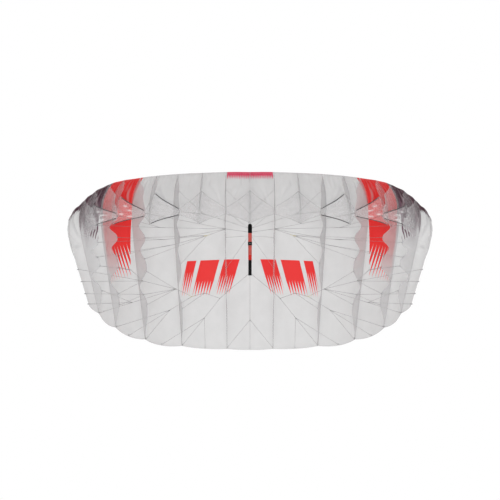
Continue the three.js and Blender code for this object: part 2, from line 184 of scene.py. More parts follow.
def canopy(span, at, u=None):
    """Points on the middle of the canopy's cloth, at places of the span and shares of the chord."""
    span, at = np.broadcast_arrays(np.asarray(span, float), np.asarray(at, float))
    u = across(span) if u is None else u
    nose = np.stack([along_seams(k, span) for k in ("nose_x", "depth", "nose_z")], -1)
    rear = np.stack([along_seams(k, span) for k in ("rear_x", "depth", "rear_z")], -1)
    length = chord_length(span)
    arch = 4 * u * (1 - u)
    place = np.abs(span)
    outer = place > GATHER["from_seam"]
    edge = np.where(place > RIBS, SCALLOP["tip"], np.where(outer, SCALLOP["outer"], SCALLOP["inner"]))
    scallop = edge * arch * at ** SCALLOP["power"]
    camber = CAMBER * (1 - at) * (1 - np.exp(-((at / NOSE_LENGTH) ** NOSE_POWER)))
    least = np.where(place > RIBS - 2, BALLOON["tip_edges"], BALLOON["edges"])
    swell = least + (1 - least) * np.sin(math.pi * at ** BALLOON["power"])
    drawn = np.cos(FULL_TURN * GATHER["count"] * u) * np.exp(-at / GATHER["reach"])
    stand = camber * length * along_seams("camber", span) + BALLOON["rise"] * arch * swell
    stand = stand + np.where(outer, GATHER["depth"] * arch * drawn, 0)
    share = (at + scallop / length)[..., None]
    return nose + (rear - nose) * share + outward(span) * stand[..., None]


def sideways(span, at):
    step = 0.02
    chord = canopy(span, np.minimum(at + step, 1)) - canopy(span, np.maximum(at - step, 0))
    square = np.cross(chord, outward(span))
    return square / np.linalg.norm(square, axis=-1, keepdims=True)


def span_metres(span):
    """Metres along the span from the middle, on the plan of the wing."""
    steps = np.linspace(0, TIP, 601)
    middle = canopy(steps, np.full(601, 0.5), np.zeros(601))[:, :2]
    walked = np.concatenate([[0], np.cumsum(np.linalg.norm(np.diff(middle, axis=0), axis=1))])
    return np.sign(span) * np.interp(np.abs(span), steps, walked)


def ripple(x, y, seed, size):
    """Soft uneven waves of about the given size, from -1 to 1."""
    draw = np.random.default_rng(seed)
    total = 0 * x
    for _ in range(WAVES):
        turn = draw.uniform(0, FULL_TURN)
        phase = draw.uniform(0, FULL_TURN)
        wave = size * draw.uniform(0.7, 1.6)
        along = x * math.cos(turn) + y * math.sin(turn)
        total = total + np.sin(along * FULL_TURN / wave + phase)
    return total / WAVES


def fold(x, y, start, end, width):
    """The height, 0 to 1, of one soft fold that tapers out at both ends."""
    run = np.subtract(end, start)
    length = np.hypot(*run)
    along = ((x - start[0]) * run[0] + (y - start[1]) * run[1]) / length**2
    off = ((x - start[0]) * run[1] - (y - start[1]) * run[0]) / length
    taper = np.sin(math.pi * np.clip(along, 0, 1)) ** 0.6
    breadth = width * (0.55 + 0.9 * np.clip(along, 0, 1))
    return taper * np.exp(-((off / breadth) ** 2))


def flat_size(place):
    """The widest and longest run of a sheet's surface, in metres: the size of the piece it is cut from."""
    steps = np.linspace(0, 1, FLAT_STEPS)
    u, v = np.meshgrid(steps, steps)
    points = place(u.ravel(), v.ravel()).reshape(FLAT_STEPS, FLAT_STEPS, 3)
    over, down = (np.linalg.norm(np.diff(points, axis=k), axis=2).sum(k).max() for k in (1, 0))
    return float(over) * FLAT_SPARE, float(down) * FLAT_SPARE


def cut_sheet(name, columns, rows, place, flat, marks, hem):
    """A sheet of cloth: a grid laid on its surface, with its flat metres as UV, and thicker at its hems."""
    bpy.ops.object.select_all(action="DESELECT")
    bpy.ops.mesh.primitive_grid_add(x_subdivisions=columns, y_subdivisions=rows, size=1)
    cloth = bpy.context.object
    cloth.name = name
    mesh = cloth.data
    mesh.name = name
    grid = np.empty(len(mesh.vertices) * 3, np.float32)
    mesh.vertices.foreach_get("co", grid)
    u, v = np.clip(np.round(grid.reshape(-1, 3)[:, :2].T.astype(float) + 0.5, 5), 0, 1)
    mesh.vertices.foreach_set("co", place(u, v).astype(np.float32).ravel())
    for key, values in marks(u, v).items():
        mesh.attributes.new(key, "FLOAT", "POINT").data.foreach_set("value", values.astype(np.float32))
    corners = np.empty(len(mesh.loops), np.int32)
    mesh.loops.foreach_get("vertex_index", corners)
    mesh.uv_layers[0].data.foreach_set("uv", np.stack(flat(u, v), -1)[corners].astype(np.float32).ravel())
    mesh.update()
    area = sum(face.area for face in mesh.polygons)
    doubled = cloth.vertex_groups.new(name="doubled")
    weights = hem(u, v)
    for i in np.nonzero(weights > 0)[0]:
        doubled.add([int(i)], float(weights[i]), "REPLACE")
    bpy.ops.object.modifier_add(type="SOLIDIFY")
    wall = cloth.modifiers[-1]
    wall.thickness = HEM
    wall.offset = 0
    wall.vertex_group = doubled.name
    wall.thickness_vertex_group = CLOTH / HEM
    bpy.ops.object.modifier_apply(modifier=wall.name)
    cloth.vertex_groups.clear()
    bpy.ops.object.shade_smooth_by_angle(angle=math.radians(60))
    return cloth, flat_size(place), area


def creases(span_a, u, behind, width, seed):
    """How far the cloth of one panel stands out or in for its folds, puckers and soft waves."""
    x = u * width
    seam = np.minimum(x, width - x)
    free = np.clip(seam / SEAM_EASE, 0, 1)
    inner_cell = span_a < GATHER["from_seam"]
    deep = INNER_FOLDS if inner_cell else min(0.8 + 0.25 * (span_a - 2), 1.4)
    draw = np.random.default_rng(seed)
    total = 0 * u
    for row in FOLDS:
        shift = draw.uniform(-FOLD_SHIFT, FOLD_SHIFT, 4)
        start = ((row["from"][0] + shift[0]) * width, row["from"][1] + shift[1])
        end = ((row["to"][0] + shift[2]) * width, max(row["to"][1] + shift[3], 0))
        total = total + row["height"] * deep * fold(x, behind, start, end, row["width"])
    pucker = np.sin(FULL_TURN * behind / PUCKER["pitch"] + 3 * ripple(x, behind, seed + 1, 0.2))
    by_seam = np.exp(-((seam - PUCKER["off_seam"]) ** 2) / PUCKER["spread"])
    total = total * free + PUCKER["height"] * pucker * by_seam
    total = total + SOFT_WAVE["height"] * free * ripple(x, behind, seed + 2, SOFT_WAVE["size"])
    drawn = np.sin(FULL_TURN * x / DRAWN["pitch"] + 2.2 * ripple(x, behind, seed + 3, 0.12))
    by_nose = np.exp(-((behind / (DRAWN["reach"] * (1 + deep))) ** 2))
    drawn = drawn * by_nose * np.clip(behind / NOSE_EASE, 0, 1)
    return total + free * deep * DRAWN["height"] * drawn


def panel(name, start, stop, columns, rows, seed):
    first, last = min(start, stop), max(start, stop)
    middle = canopy(np.linspace(first, last, 40), np.full(40, 0.5))
    width = np.linalg.norm(np.diff(middle, axis=0), axis=1).sum()
    nearest = min(abs(first), abs(last)) if first * last > 0 else 0
    inner_first = abs(first) < abs(last)

    def spread(u, v):
        span = first + (last - first) * u
        at = v**ROW_SPACING
        return span, at, at * chord_length(span)

    def place(u, v):
        span, at, behind = spread(u, v)
        share = u if inner_first else 1 - u
        stand = creases(nearest, share, behind, width, seed)
        return canopy(span, at, np.where(nearest == 0, u, share)) + outward(span) * stand[:, None]

    def flat(u, v):
        span, at, behind = spread(u, v)
        return (u - 0.5) * width, -behind

    def marks(u, v):
        span, at, behind = spread(u, v)
        return {
            "span_m": span_metres(span),
            "behind_m": behind,
            "rear_m": chord_length(span) - behind,
            "seam_m": np.minimum(u, 1 - u) * width,
            "pleat": creases(nearest, u if inner_first else 1 - u, behind, width, seed) / PLEAT_HEIGHT,
        }

    def hem(u, v):
        told = marks(u, v)
        edges = (told["behind_m"] < NOSE_HEM) | (told["rear_m"] < REAR_HEM)
        return np.where(edges, 1.0, np.where(told["seam_m"] < SEAM_FOLD, SEAM_DOUBLED, 0.0))

    return cut_sheet(name, columns, rows, place, flat, marks, hem)


def node(tree, kind, sockets=None, **settings):
    """A shader node with its settings, and its sockets given as numbers or joined to other nodes' outputs."""
    made = tree.nodes.new(kind)
    for key, value in settings.items():
        setattr(made, key, value)
    for key, value in (sockets or {}).items():
        if isinstance(value, bpy.types.NodeSocket):
            tree.links.new(value, made.inputs[key])
        else:
            made.inputs[key].default_value = value
    return made


def sum_of(tree, operation, *values):
    """The output of a Math node."""
    return node(tree, "ShaderNodeMath", dict(enumerate(values)), operation=operation).outputs[0]


def ease(tree, value, low, high, to_low=0.0, to_high=1.0):
    """The output of a Map Range node that eases from one value to another."""
    sockets = {"Value": value, "From Min": low, "From Max": high, "To Min": to_low, "To Max": to_high}
    return node(tree, "ShaderNodeMapRange", sockets, interpolation_type="SMOOTHSTEP").outputs["Result"]


def tint(tree, mask, under, over):
    """The output of a colour Mix node: under where the mask is 0, over where it is 1."""
    made = node(tree, "ShaderNodeMix", {"Factor": mask}, data_type="RGBA")
    for socket, value in ((made.inputs[6], under), (made.inputs[7], over)):
        if isinstance(value, bpy.types.NodeSocket):
            tree.links.new(value, socket)
        else:
            socket.default_value = (*value, 1)
    return made.outputs[2]


def noise(tree, place, scale, detail):
    """The output of a Noise Texture node."""
    return node(tree, "ShaderNodeTexNoise", {"Vector": place, "Scale": scale, "Detail": detail}).outputs[0]


def parts_of(tree, vector):
    return node(tree, "ShaderNodeSeparateXYZ", {0: vector}).outputs


def own_flat(tree):
    """The flat metres that a sheet or a line has as its own UV."""
    return node(tree, "ShaderNodeUVMap", uv_map="UVMap").outputs[0]


def grouped(tree, group, sockets):
    """The outputs of a node group with its sockets set or joined."""
    return node(tree, "ShaderNodeGroup", sockets, node_tree=group).outputs


def relief(tree, height, strength):
    """The output of a Bump node."""
    return node(tree, "ShaderNodeBump", {"Height": height, "Strength": strength, "Distance": 1.0}).outputs[0]


def new_group(name, inputs, outputs):
    """An empty shader node group with named number inputs and outputs, its tree, and its two end nodes."""
    tree = bpy.data.node_groups.new(name, "ShaderNodeTree")
    for key, value in inputs.items():
        kind = "NodeSocketVector" if value is None else "NodeSocketFloat"
        made = tree.interface.new_socket(name=key, in_out="INPUT", socket_type=kind)
        if value is not None:
            made.default_value = value
    for key in outputs:
        tree.interface.new_socket(name=key, in_out="OUTPUT", socket_type="NodeSocketFloat")
    return tree, tree.nodes.new("NodeGroupInput").outputs, tree.nodes.new("NodeGroupOutput").inputs


def finish_of(name, **uniform):
    """A material, its tree and its Principled shader, with the values that are alike all over set on it."""
    made = bpy.data.materials.new(name)
    made.use_nodes = True
    shader = made.node_tree.nodes["Principled BSDF"]
    for key, value in uniform.items():
        shader.inputs[key.replace("_", " ")].default_value = value
    return made, made.node_tree, shader


def mark(tree, name):
    return node(tree, "ShaderNodeAttribute", attribute_name=name).outputs["Fac"]


# Ripstop: fine plain weave with a thicker thread every few millimetres each way, and a thin coating that
# lies a little unevenly.
RIPSTOP_PITCH = 0.005
THREAD_HEIGHT = 0.00008
WEAVE_HEIGHT = 0.00004
CRUMPLE_HEIGHT = 0.0016
ripstop, given, told = new_group(
    "ripstop", {"Flat metres": None, "Pitch": RIPSTOP_PITCH}, ("Unevenness", "Height")
)
parts = parts_of(ripstop, given["Flat metres"])
half_pitch = sum_of(ripstop, "MULTIPLY", given["Pitch"], 0.5)
cords = [sum_of(ripstop, "PINGPONG", parts[k], half_pitch) for k in (0, 1)]
lines = [ease(ripstop, off, 0.0002, 0.0005, 1, 0) for off in cords]
grid_lines = sum_of(ripstop, "MAXIMUM", *lines)
coat = noise(ripstop, given["Flat metres"], 9.0, 4.0)
crumple = noise(ripstop, given["Flat metres"], 34.0, 3.0)
weave = noise(ripstop, given["Flat metres"], 1500.0, 1.0)
height = sum_of(ripstop, "MULTIPLY", weave, WEAVE_HEIGHT)
height = sum_of(ripstop, "MULTIPLY_ADD", grid_lines, THREAD_HEIGHT, height)
height = sum_of(ripstop, "MULTIPLY_ADD", crumple, CRUMPLE_HEIGHT, height)
ripstop.links.new(coat, told["Unevenness"])
ripstop.links.new(height, told["Height"])

# Sewn edge: the cloth is doubled for a few millimetres along an edge, with two rows of stitches in it.
STITCH = 0.0032
sewn_edge, given, told = new_group(
    "sewn_edge",
    {"Edge metres": 0.0, "Along metres": 0.0, "Fold": SEAM_FOLD, "Stitch": STITCH},
    ("Doubled", "Thread"),
)
half_stitch = sum_of(sewn_edge, "MULTIPLY", given["Stitch"], 0.5)
dash = sum_of(sewn_edge, "PINGPONG", given["Along metres"], half_stitch)
dash = sum_of(sewn_edge, "GREATER_THAN", dash, sum_of(sewn_edge, "MULTIPLY", half_stitch, 0.35))
rows_of_thread = []
for share in (0.25, 0.8):
    row = sum_of(sewn_edge, "MULTIPLY", given["Fold"], share)
    off = sum_of(sewn_edge, "SUBTRACT", given["Edge metres"], row)
    rows_of_thread.append(ease(sewn_edge, sum_of(sewn_edge, "ABSOLUTE", off), 0.0002, 0.0005, 1, 0))
thread = sum_of(sewn_edge, "MULTIPLY", sum_of(sewn_edge, "MAXIMUM", *rows_of_thread), dash)
inside = sum_of(sewn_edge, "SUBTRACT", given["Fold"], given["Edge metres"])
sewn_edge.links.new(ease(sewn_edge, inside, -0.0003, 0.0003), told["Doubled"])
sewn_edge.links.new(thread, told["Thread"])

# Printed band: a plain bar of ink between two straight sides, whose end breaks up into slanted lines that
# grow thinner. Side and Run are metres inside its sides and from its end.
printed_band, given, told = new_group(
    "printed_band", {"Side": 0.0, "Run": 0.0, "Fade": 0.1, "Across lines": 0.0, "Pitch": 0.02}, ("Ink",)
)
half_line = sum_of(printed_band, "MULTIPLY", given["Pitch"], 0.5)
off_line = sum_of(printed_band, "PINGPONG", given["Across lines"], half_line)
off_line = sum_of(printed_band, "DIVIDE", off_line, half_line)
left_over = sum_of(printed_band, "DIVIDE", given["Run"], given["Fade"])
left_over = sum_of(printed_band, "SUBTRACT", left_over, off_line)
in_lines = ease(printed_band, left_over, -0.03, 0.03)
in_sides = ease(printed_band, given["Side"], -0.0008, 0.0008)
in_run = ease(printed_band, given["Run"], -0.0008, 0.0008)
ink = sum_of(printed_band, "MULTIPLY", sum_of(printed_band, "MULTIPLY", in_lines, in_sides), in_run)
printed_band.links.new(ink, told["Ink"])

# Canopy cloth: pale grey and half see-through, but opaque where it is printed. On raised folds the inks are
# painted paler as painted sheen, and the plum ink is streaked with mauve painted sheen; sunk folds of the
# cloth are painted darker as painted shade.
CLOTH_GREY = (0.652, 0.646, 0.647)
SEAM_GREY = (0.595, 0.588, 0.590)
CREASE_SHADE_GREY = (0.36, 0.355, 0.36)
THREAD_GREY = (0.78, 0.78, 0.78)
INK_RED = (0.74, 0.012, 0.011)
INK_PLUM = (0.050, 0.012, 0.024)
PLUM_SHEEN_MAUVE = (0.145, 0.070, 0.100)
INK_ROSE = (0.66, 0.050, 0.115)
FOLD_SHEEN_GREY = (0.50, 0.42, 0.43)
CLOTH_OPAQUE = 0.61
SEAM_OPAQUE = 0.67
INK_OPAQUE = 0.97
BANDS = (
    # Sides, run and lines in metres: a constant, and shares of the distance off the middle and of the
    # distance behind the nose.
    {"colour": INK_RED, "sides": ((-0.870, 1, -0.13), (1.205, -1, 0.0)), "run": (0.70, 0, -1),
     "fade": 0.24, "lines": (0, 1, 0.22), "pitch": 0.030},
    {"colour": INK_PLUM, "sides": ((-1.205, 1, 0.0), (1.503, -1, 0.0)), "run": (0.245, 0, -1),
     "fade": 0.06, "lines": (0, 1, -0.55), "pitch": 0.022},
    {"colour": INK_PLUM, "sides": ((-1.503, 1, 0.0),), "run": (0.601, -0.35, -1),
     "fade": 0.02, "lines": (0, 1, -0.55), "pitch": 0.022},
    {"colour": INK_PLUM, "sides": ((-1.235, 1, -0.12), (1.385, -1, 0.12)), "run": (0.39, 0, -1),
     "fade": 0.15, "lines": (0, 1, -0.45), "pitch": 0.026},
    {"colour": INK_ROSE, "sides": ((0.173, -1, 0),), "run": (0.052, 0, -1),
     "fade": 0.032, "lines": (0, 1, 0), "pitch": 0.013},
)

# Three slanted bars on each side of the middle: the constants of their inner and outer sides, the length of
# their broken ends and the pitch of the lines in them.
SLANTED_BARS = ((0.117, -0.002, 0.15, 0.018), (-0.032, 0.168, 0.11, 0.021), (-0.198, 0.268, 0.18, 0.018))
BAR_LEAN = 0.30
BAR_TOP = 0.64
BAR_FOOT = 0.90
BANDS += tuple(
    {"colour": INK_RED, "sides": ((inner, 1, -BAR_LEAN), (outer, -1, BAR_LEAN), (-BAR_TOP, 0, 1)),
     "run": (BAR_FOOT, 0, -1), "fade": fade, "lines": (0, 1, -BAR_LEAN), "pitch": pitch}
    for inner, outer, fade, pitch in SLANTED_BARS
)

canopy_cloth, tree, shader = finish_of(
    "canopy_cloth", Specular_IOR_Level=0.45, Sheen_Weight=0.12, Sheen_Roughness=0.4
)
flat_metres = own_flat(tree)
weave_of = grouped(tree, ripstop, {"Flat metres": flat_metres, "Pitch": RIPSTOP_PITCH})
flat_parts = parts_of(tree, flat_metres)
behind = mark(tree, "behind_m")
off_middle = sum_of(tree, "ABSOLUTE", mark(tree, "span_m"))
doubled, threads = [], []
for edge, along, width in (
    ("seam_m", flat_parts[1], SEAM_FOLD),
    ("behind_m", flat_parts[0], NOSE_HEM),
    ("rear_m", flat_parts[0], REAR_HEM),
):
    edge_sockets = {"Edge metres": mark(tree, edge), "Along metres": along, "Fold": width, "Stitch": STITCH}
    sewn = grouped(tree, sewn_edge, edge_sockets)
    doubled.append(sewn["Doubled"])
    threads.append(sewn["Thread"])
double = sum_of(tree, "MAXIMUM", sum_of(tree, "MAXIMUM", *doubled[:2]), doubled[2])
stitches = sum_of(tree, "MAXIMUM", sum_of(tree, "MAXIMUM", *threads[:2]), threads[2])


def slope(tree, terms):
    """A sum of a constant and shares of the distance off the middle and behind the nose."""
    constant, by_span, by_behind = terms
    total = sum_of(tree, "MULTIPLY_ADD", off_middle, by_span, constant)
    return sum_of(tree, "MULTIPLY_ADD", behind, by_behind, total)


uneven = ease(tree, weave_of["Unevenness"], 0.25, 0.75)
grey = tint(tree, uneven, CLOTH_GREY, tuple(0.94 * c for c in CLOTH_GREY))
grey = tint(tree, double, grey, SEAM_GREY)
raised_pleat = ease(tree, mark(tree, "pleat"), 0.15, 1.0)
# Painted shade: the cloth is painted darker where a fold sinks in.
sunk_fold_shade = ease(tree, mark(tree, "pleat"), -0.15, -1.0)
grey = tint(tree, sum_of(tree, "MULTIPLY", sunk_fold_shade, 0.35), grey, CREASE_SHADE_GREY)
colour, printed = grey, 0.0
# Painted sheen on the plum ink: mauve streaks of a stretched noise, more of them further behind the nose and
# on raised folds.
stretched = node(tree, "ShaderNodeMapping", {"Vector": flat_metres, "Scale": (70.0, 7.0, 1.0)}).outputs[0]
streaks = noise(tree, stretched, 1.0, 2.0)
streaks = sum_of(tree, "MULTIPLY_ADD", behind, 1.1, streaks)
streaks = sum_of(tree, "MULTIPLY_ADD", mark(tree, "pleat"), 0.10, streaks)
streaks = sum_of(tree, "MULTIPLY", ease(tree, streaks, 0.52, 0.76), 0.9)
for band in BANDS:
    side = slope(tree, band["sides"][0])
    for other in band["sides"][1:]:
        side = sum_of(tree, "MINIMUM", side, slope(tree, other))
    band_sockets = {
        "Side": side,
        "Run": slope(tree, band["run"]),
        "Across lines": slope(tree, band["lines"]),
        "Fade": band["fade"],
        "Pitch": band["pitch"],
    }
    inked = grouped(tree, printed_band, band_sockets)["Ink"]
    ink = band["colour"]
    # The plum ink is streaked with painted sheen.
    if ink == INK_PLUM:
        ink = tint(tree, streaks, INK_PLUM, PLUM_SHEEN_MAUVE)
    colour = tint(tree, inked, colour, ink)
    printed = sum_of(tree, "MAXIMUM", printed, inked)
# Painted sheen: printed cloth is painted paler where a fold stands out.
printed_fold_sheen = sum_of(tree, "MULTIPLY", sum_of(tree, "MULTIPLY", raised_pleat, printed), 0.42)
colour = tint(tree, printed_fold_sheen, colour, FOLD_SHEEN_GREY)
colour = tint(tree, sum_of(tree, "MULTIPLY", stitches, 0.4), colour, THREAD_GREY)
tree.links.new(colour, shader.inputs["Base Color"])
opaque = ease(tree, double, 0, 1, CLOTH_OPAQUE, SEAM_OPAQUE)
opaque = sum_of(tree, "MAXIMUM", opaque, sum_of(tree, "MULTIPLY", printed, INK_OPAQUE))
tree.links.new(opaque, shader.inputs["Alpha"])
tree.links.new(ease(tree, weave_of["Unevenness"], 0.2, 0.8, 0.42, 0.58), shader.inputs["Roughness"])
raised = sum_of(tree, "MULTIPLY_ADD", stitches, 0.0002, weave_of["Height"])
tree.links.new(relief(tree, raised, 0.8), shader.inputs["Normal"])

# Tape loops. A short woven tape is folded over an edge, sewn through, and stands off it as a loop for a line.
LOOP_TAPE = {"wide": 0.0064, "thick": 0.00056, "legs": 0.008, "stand": 0.0034, "turn": 0.0012}
REAR = 0.992
TIP_EDGE = 5.985


def on_cloth(span, at, stand):
    """A point that stands off the canopy's inner side, and the ways in, along the chord and sideways."""
    spans = np.array([float(span)])
    places = np.array([float(at)])
    inward = -outward(spans)[0]
    aside = sideways(spans, places)[0]
    return canopy(spans, places)[0] + inward * (ROOT + stand), inward, np.cross(inward, aside), aside


def unit(vector):
    return vector / np.linalg.norm(vector)


def empty_parts():
    return {"points": [], "faces": [], "flat": [], "whip": []}


def add_tube(parts, path, radii, reference, sides, whip=0.0, closed=False):
    """Adds a tube along a path to a mesh's lists: two radii for each point, and reference sets its turn."""
    path = np.asarray(path)
    radii = np.asarray(radii)
    count = len(path)
    if closed:
        run = np.roll(path, -1, 0) - np.roll(path, 1, 0)
    else:
        run = np.gradient(path, axis=0)
    run = run / np.linalg.norm(run, axis=1, keepdims=True)
    first = np.cross(run, reference)
    first = first / np.linalg.norm(first, axis=1, keepdims=True)
    second = np.cross(run, first)
    turn = np.arange(sides) * FULL_TURN / sides
    ring = first[:, None] * (radii[:, :1, None] * np.cos(turn)[None, :, None])
    ring = ring + second[:, None] * (radii[:, 1:, None] * np.sin(turn)[None, :, None])
    start = len(parts["points"])
    parts["points"].extend((path[:, None] + ring).reshape(-1, 3).tolist())
    parts["whip"].extend([whip] * (count * sides))
    gone = np.concatenate([[0], np.cumsum(np.linalg.norm(np.diff(path, axis=0), axis=1))]).tolist()
    for k in range(count if closed else count - 1):
        after = (k + 1) % count
        reach = gone[k + 1] if k + 1 < count else gone[k]
        for j in range(sides):
            n = (j + 1) % sides
            corners = (k * sides + j, k * sides + n, after * sides + n, after * sides + j)
            parts["faces"].append([start + c for c in corners])
            parts["flat"].extend([(j / sides, gone[k]), ((j + 1) / sides, gone[k]),
                                  ((j + 1) / sides, reach), (j / sides, reach)])
    if not closed:
        for ends in (list(range(sides))[::-1], [(count - 1) * sides + j for j in range(sides)]):
            parts["faces"].append([start + c for c in ends])
            parts["flat"].extend([(0, 0)] * sides)


def mesh_of(name, parts):
    mesh = bpy.data.meshes.new(name)
    mesh.from_pydata(parts["points"], [], parts["faces"])
    flat = np.array(parts["flat"], np.float32)
    whip = np.array(parts["whip"], np.float32)
    mesh.uv_layers.new(name="UVMap").data.foreach_set("uv", flat.ravel())
    mesh.attributes.new("whip", "FLOAT", "POINT").data.foreach_set("value", whip)
    made = bpy.data.objects.new(name, mesh)
    scene.collection.objects.link(made)
    for face in mesh.polygons:
        face.use_smooth = True
    return made


def tape_loops(name, places):
    """One mesh of loops, each at a place of the span and chord and a height off the canopy."""
    parts = empty_parts()
    for span, at, stand in places:
        foot, inward, chordwise, aside = on_cloth(span, at, stand)
        turn = np.linspace(-math.pi / 2, math.pi / 2, 7)
        legs = np.array([-1, -0.5, 0]) * LOOP_TAPE["legs"]
        crown = LOOP_TAPE["stand"] + LOOP_TAPE["turn"] * np.cos(turn)
        up = np.concatenate([legs, crown, legs[::-1]])
        flank = np.full(3, HEM / 2 + LOOP_TAPE["thick"] / 2)
        over = np.concatenate([-flank, LOOP_TAPE["turn"] * np.sin(turn), flank])
        path = foot + np.outer(up, inward) + np.outer(over, aside)
        radii = np.tile([LOOP_TAPE["thick"] / 2, LOOP_TAPE["wide"] / 2], (len(path), 1))
        add_tube(parts, path, radii, chordwise, 8)
    loops = mesh_of(name, parts)
    loops.data.materials.append(loop_tape)
    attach(loops, "root")
    return loops


loop_tape, tree, shader = finish_of("loop_tape", Specular_IOR_Level=0.35, Sheen_Weight=0.15)
flat_parts = parts_of(tree, own_flat(tree))
weft = sum_of(tree, "PINGPONG", flat_parts[1], 0.0004)
warp = sum_of(tree, "PINGPONG", flat_parts[0], 0.04)
woven = sum_of(tree, "MULTIPLY", ease(tree, weft, 0, 0.0004), ease(tree, warp, 0, 0.04))
tree.links.new(tint(tree, woven, (0.22, 0.22, 0.225), (0.36, 0.355, 0.36)), shader.inputs["Base Color"])
tree.links.new(ease(tree, woven, 0, 1, 0.8, 0.6), shader.inputs["Roughness"])
tree.links.new(relief(tree, sum_of(tree, "MULTIPLY", woven, 0.0002), 0.6), shader.inputs["Normal"])

# Where each panel's free edge takes a line: places of the span and chord on one half.
EDGE_LOOPS = {
    "centre": ((0, REAR),),
    "2": ((1.5, REAR),),
    "3": ((2.5, REAR),),
    "4": ((3.5, REAR),),
    "tip": ((TIP_EDGE, 0.58), (TIP_EDGE, 0.72), (TIP_EDGE, 0.86), (TIP_EDGE, 0.98)),
}
PANEL_COLUMNS = 56
TIP_COLUMNS = 30
PANEL_ROWS = 140
FIRST_SEED = 40
panels = [("centre", "canopy_cell_centre", -1, 1)]
for side, word in ((-1, "left"), (1, "right")):
    for i in range(1, RIBS + 1):
        ends = (side * i, side * (i + 1))
        if i < RIBS:
            panels.append((f"{i + 1}_{word}", f"canopy_cell_{i + 1}_{word}", *ends))
        else:
            panels.append((f"tip_{word}", f"canopy_tip_strip_{word}", *ends))
for number, (label, solid, start, stop) in enumerate(panels):
    columns = TIP_COLUMNS if "tip" in label else PANEL_COLUMNS
    seed = FIRST_SEED + (number if number <= RIBS else number - RIBS)
    cloth, cut_size, area = panel(f"panel_{label}", start, stop, columns, PANEL_ROWS, seed)
    cloth.data.materials.append(canopy_cloth)
    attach(cloth, "root")
    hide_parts(solid)
    side = -1 if start < 0 else 1
    edge = [(side * span, at, 0.0) for span, at in EDGE_LOOPS.get(label.split("_")[0], ())]
    loops = [tape_loops(f"edge_loops_{label}", edge)] if edge else []

# Ribs. Ten full-length ribs stand under the seams, nine short ones stand in the middle of the cells, and nine
# slanted ones run from the full ribs' tabs to the short ribs. All are the same light cloth, cut in arcs
# between the tabs that take lines, with a tape sewn over the free edge.
RIB_EDGE = (
    # Place along the chord, and height of a full rib's free edge.
    (0, 0.012), (0.10, 0.105), (0.22, 0.142), (0.30, 0.070), (0.37, 0.124),
    (0.45, 0.062), (0.54, 0.108), (0.68, 0.014), (0.78, 0.066), (1, 0.008),
)
NOSE_EDGE = ((0, 0.008), (0.03, 0.042), (0.06, 0.060), (0.10, 0.056), (0.16, 0.026), (0.205, 0.005))
SLANT_FOOT = ((0.10, 0.056), (0.16, 0.026), (0.22, 0), (0.29, 0))
SLANT_TAB = {"from": 0.20, "to": 0.24, "reach": 0.93, "aside": 0.0014}
SLANT_FLAT = {"wide": 0.36, "at_tab": 0.050, "at_middle": 0.215}
SLANT_CUT = 0.09
SLANT_SAG = 0.007
SLANT_FAN = {"waves": 7.5, "height": 0.0024}
SLANT_WAVE = {"height": 0.0020, "size": 0.07}
SWAY = {"height": 0.0030, "size": 0.16}
SMALL_SWAY = {"height": 0.0012, "size": 0.05}
TAPE = 0.007
TAB_WIDTH = 1.12

# How opaque the ribs are: full ribs, the two by the middle, slanted ribs, and the noses of ribs by the tips.
COVER = 0.37
INNER_COVER = 0.26
SLANT_COVER = 0.16
TIP_COVER = 0.15
TIP_RIBS = {"from": 3.5, "all_from": 4.4, "part": 0.6, "reach": 0.24}

# Soft lit streaks of a slanted rib: the place from its front to its rear edge, and where the streak starts
# and ends on the way from the short rib, 0, to the tab, 1.
GLINTS = ((0.24, 0.18, 0.50), (0.42, 0.36, 0.74), (0.66, 0.14, 0.46), (0.80, 0.40, 0.72))
GLINT_WIDTH = 0.055
INNER_GLINT = 0.45
GREY_EDGE = 0.12
SHORT_GRID = (8, 30)
FULL_GRID = (12, 170)
SLANT_GRID = (64, 26)
SEEDS = {"short": 70, "slanted": 80, "full": 90}


def edge_height(table, at):
    """The free edge's height: low arcs between the places that it rises to."""
    places, heights = np.array(table).T
    i = np.clip(np.searchsorted(places, at), 1, len(places) - 1)
    low, high = heights[i - 1], heights[i]
    u = np.clip((at - places[i - 1]) / (places[i] - places[i - 1]), 0, 1)
    rise = np.where(high > low, u, 1 - u)
    rise = np.clip(TAB_WIDTH * rise, 0, 1)
    rise = rise**2 * (3 - 2 * rise)
    return np.minimum(low, high) + np.abs(high - low) * rise


def rib_height(span, at):
    return along_seams("rib", np.abs(span)) * edge_height(RIB_EDGE, at)


def rib_cover(span, at):
    """How opaque a standing rib is. By the tips its nose is thinner, so that the print shows through."""
    place = abs(span)
    full = INNER_COVER if place == 1 else COVER
    if place < TIP_RIBS["from"]:
        return full + 0 * at
    share = TIP_RIBS["part"] if place < TIP_RIBS["all_from"] else 1.0
    return full - (full - TIP_COVER) * share * np.exp(-((at / TIP_RIBS["reach"]) ** 4))


def standing_rib(name, span, reach, height, grid, seed):
    """A rib on one place of the span, up to the given share of the chord."""
    span_at = float(span)
    short = reach < 1

    def place(u, v):
        at = v * reach
        spans = np.full_like(at, span_at)
        stand = ROOT + u * height(at)
        points = canopy(spans, at) - outward(spans) * stand[:, None]
        along = at * float(chord_length(np.array([span_at]))[0])
        small = SMALL_SWAY["height"] * np.sin(math.pi * u)
        sway = SWAY["height"] * u * ripple(along, u * 0.1, seed, SWAY["size"])
        sway = sway + small * ripple(along, u * 0.1, seed + 1, SMALL_SWAY["size"])
        return points + sideways(spans, at) * sway[:, None]

    def flat(u, v):
        at = v * reach
        return u * height(at), -at * chord_length(np.full_like(at, span_at))

    def marks(u, v):
        at = v * reach
        return {
            "free_m": (1 - u) * height(at),
            "black_tape": 0 * u,
            "glint": 0 * u,
            "shade": 0 * u + short,
            "cover": rib_cover(span, at),
        }

    def hem(u, v):
        return np.where(marks(u, v)["free_m"] < TAPE, 1.0, 0.0)

    return cut_sheet(name, *grid, place, flat, marks, hem)


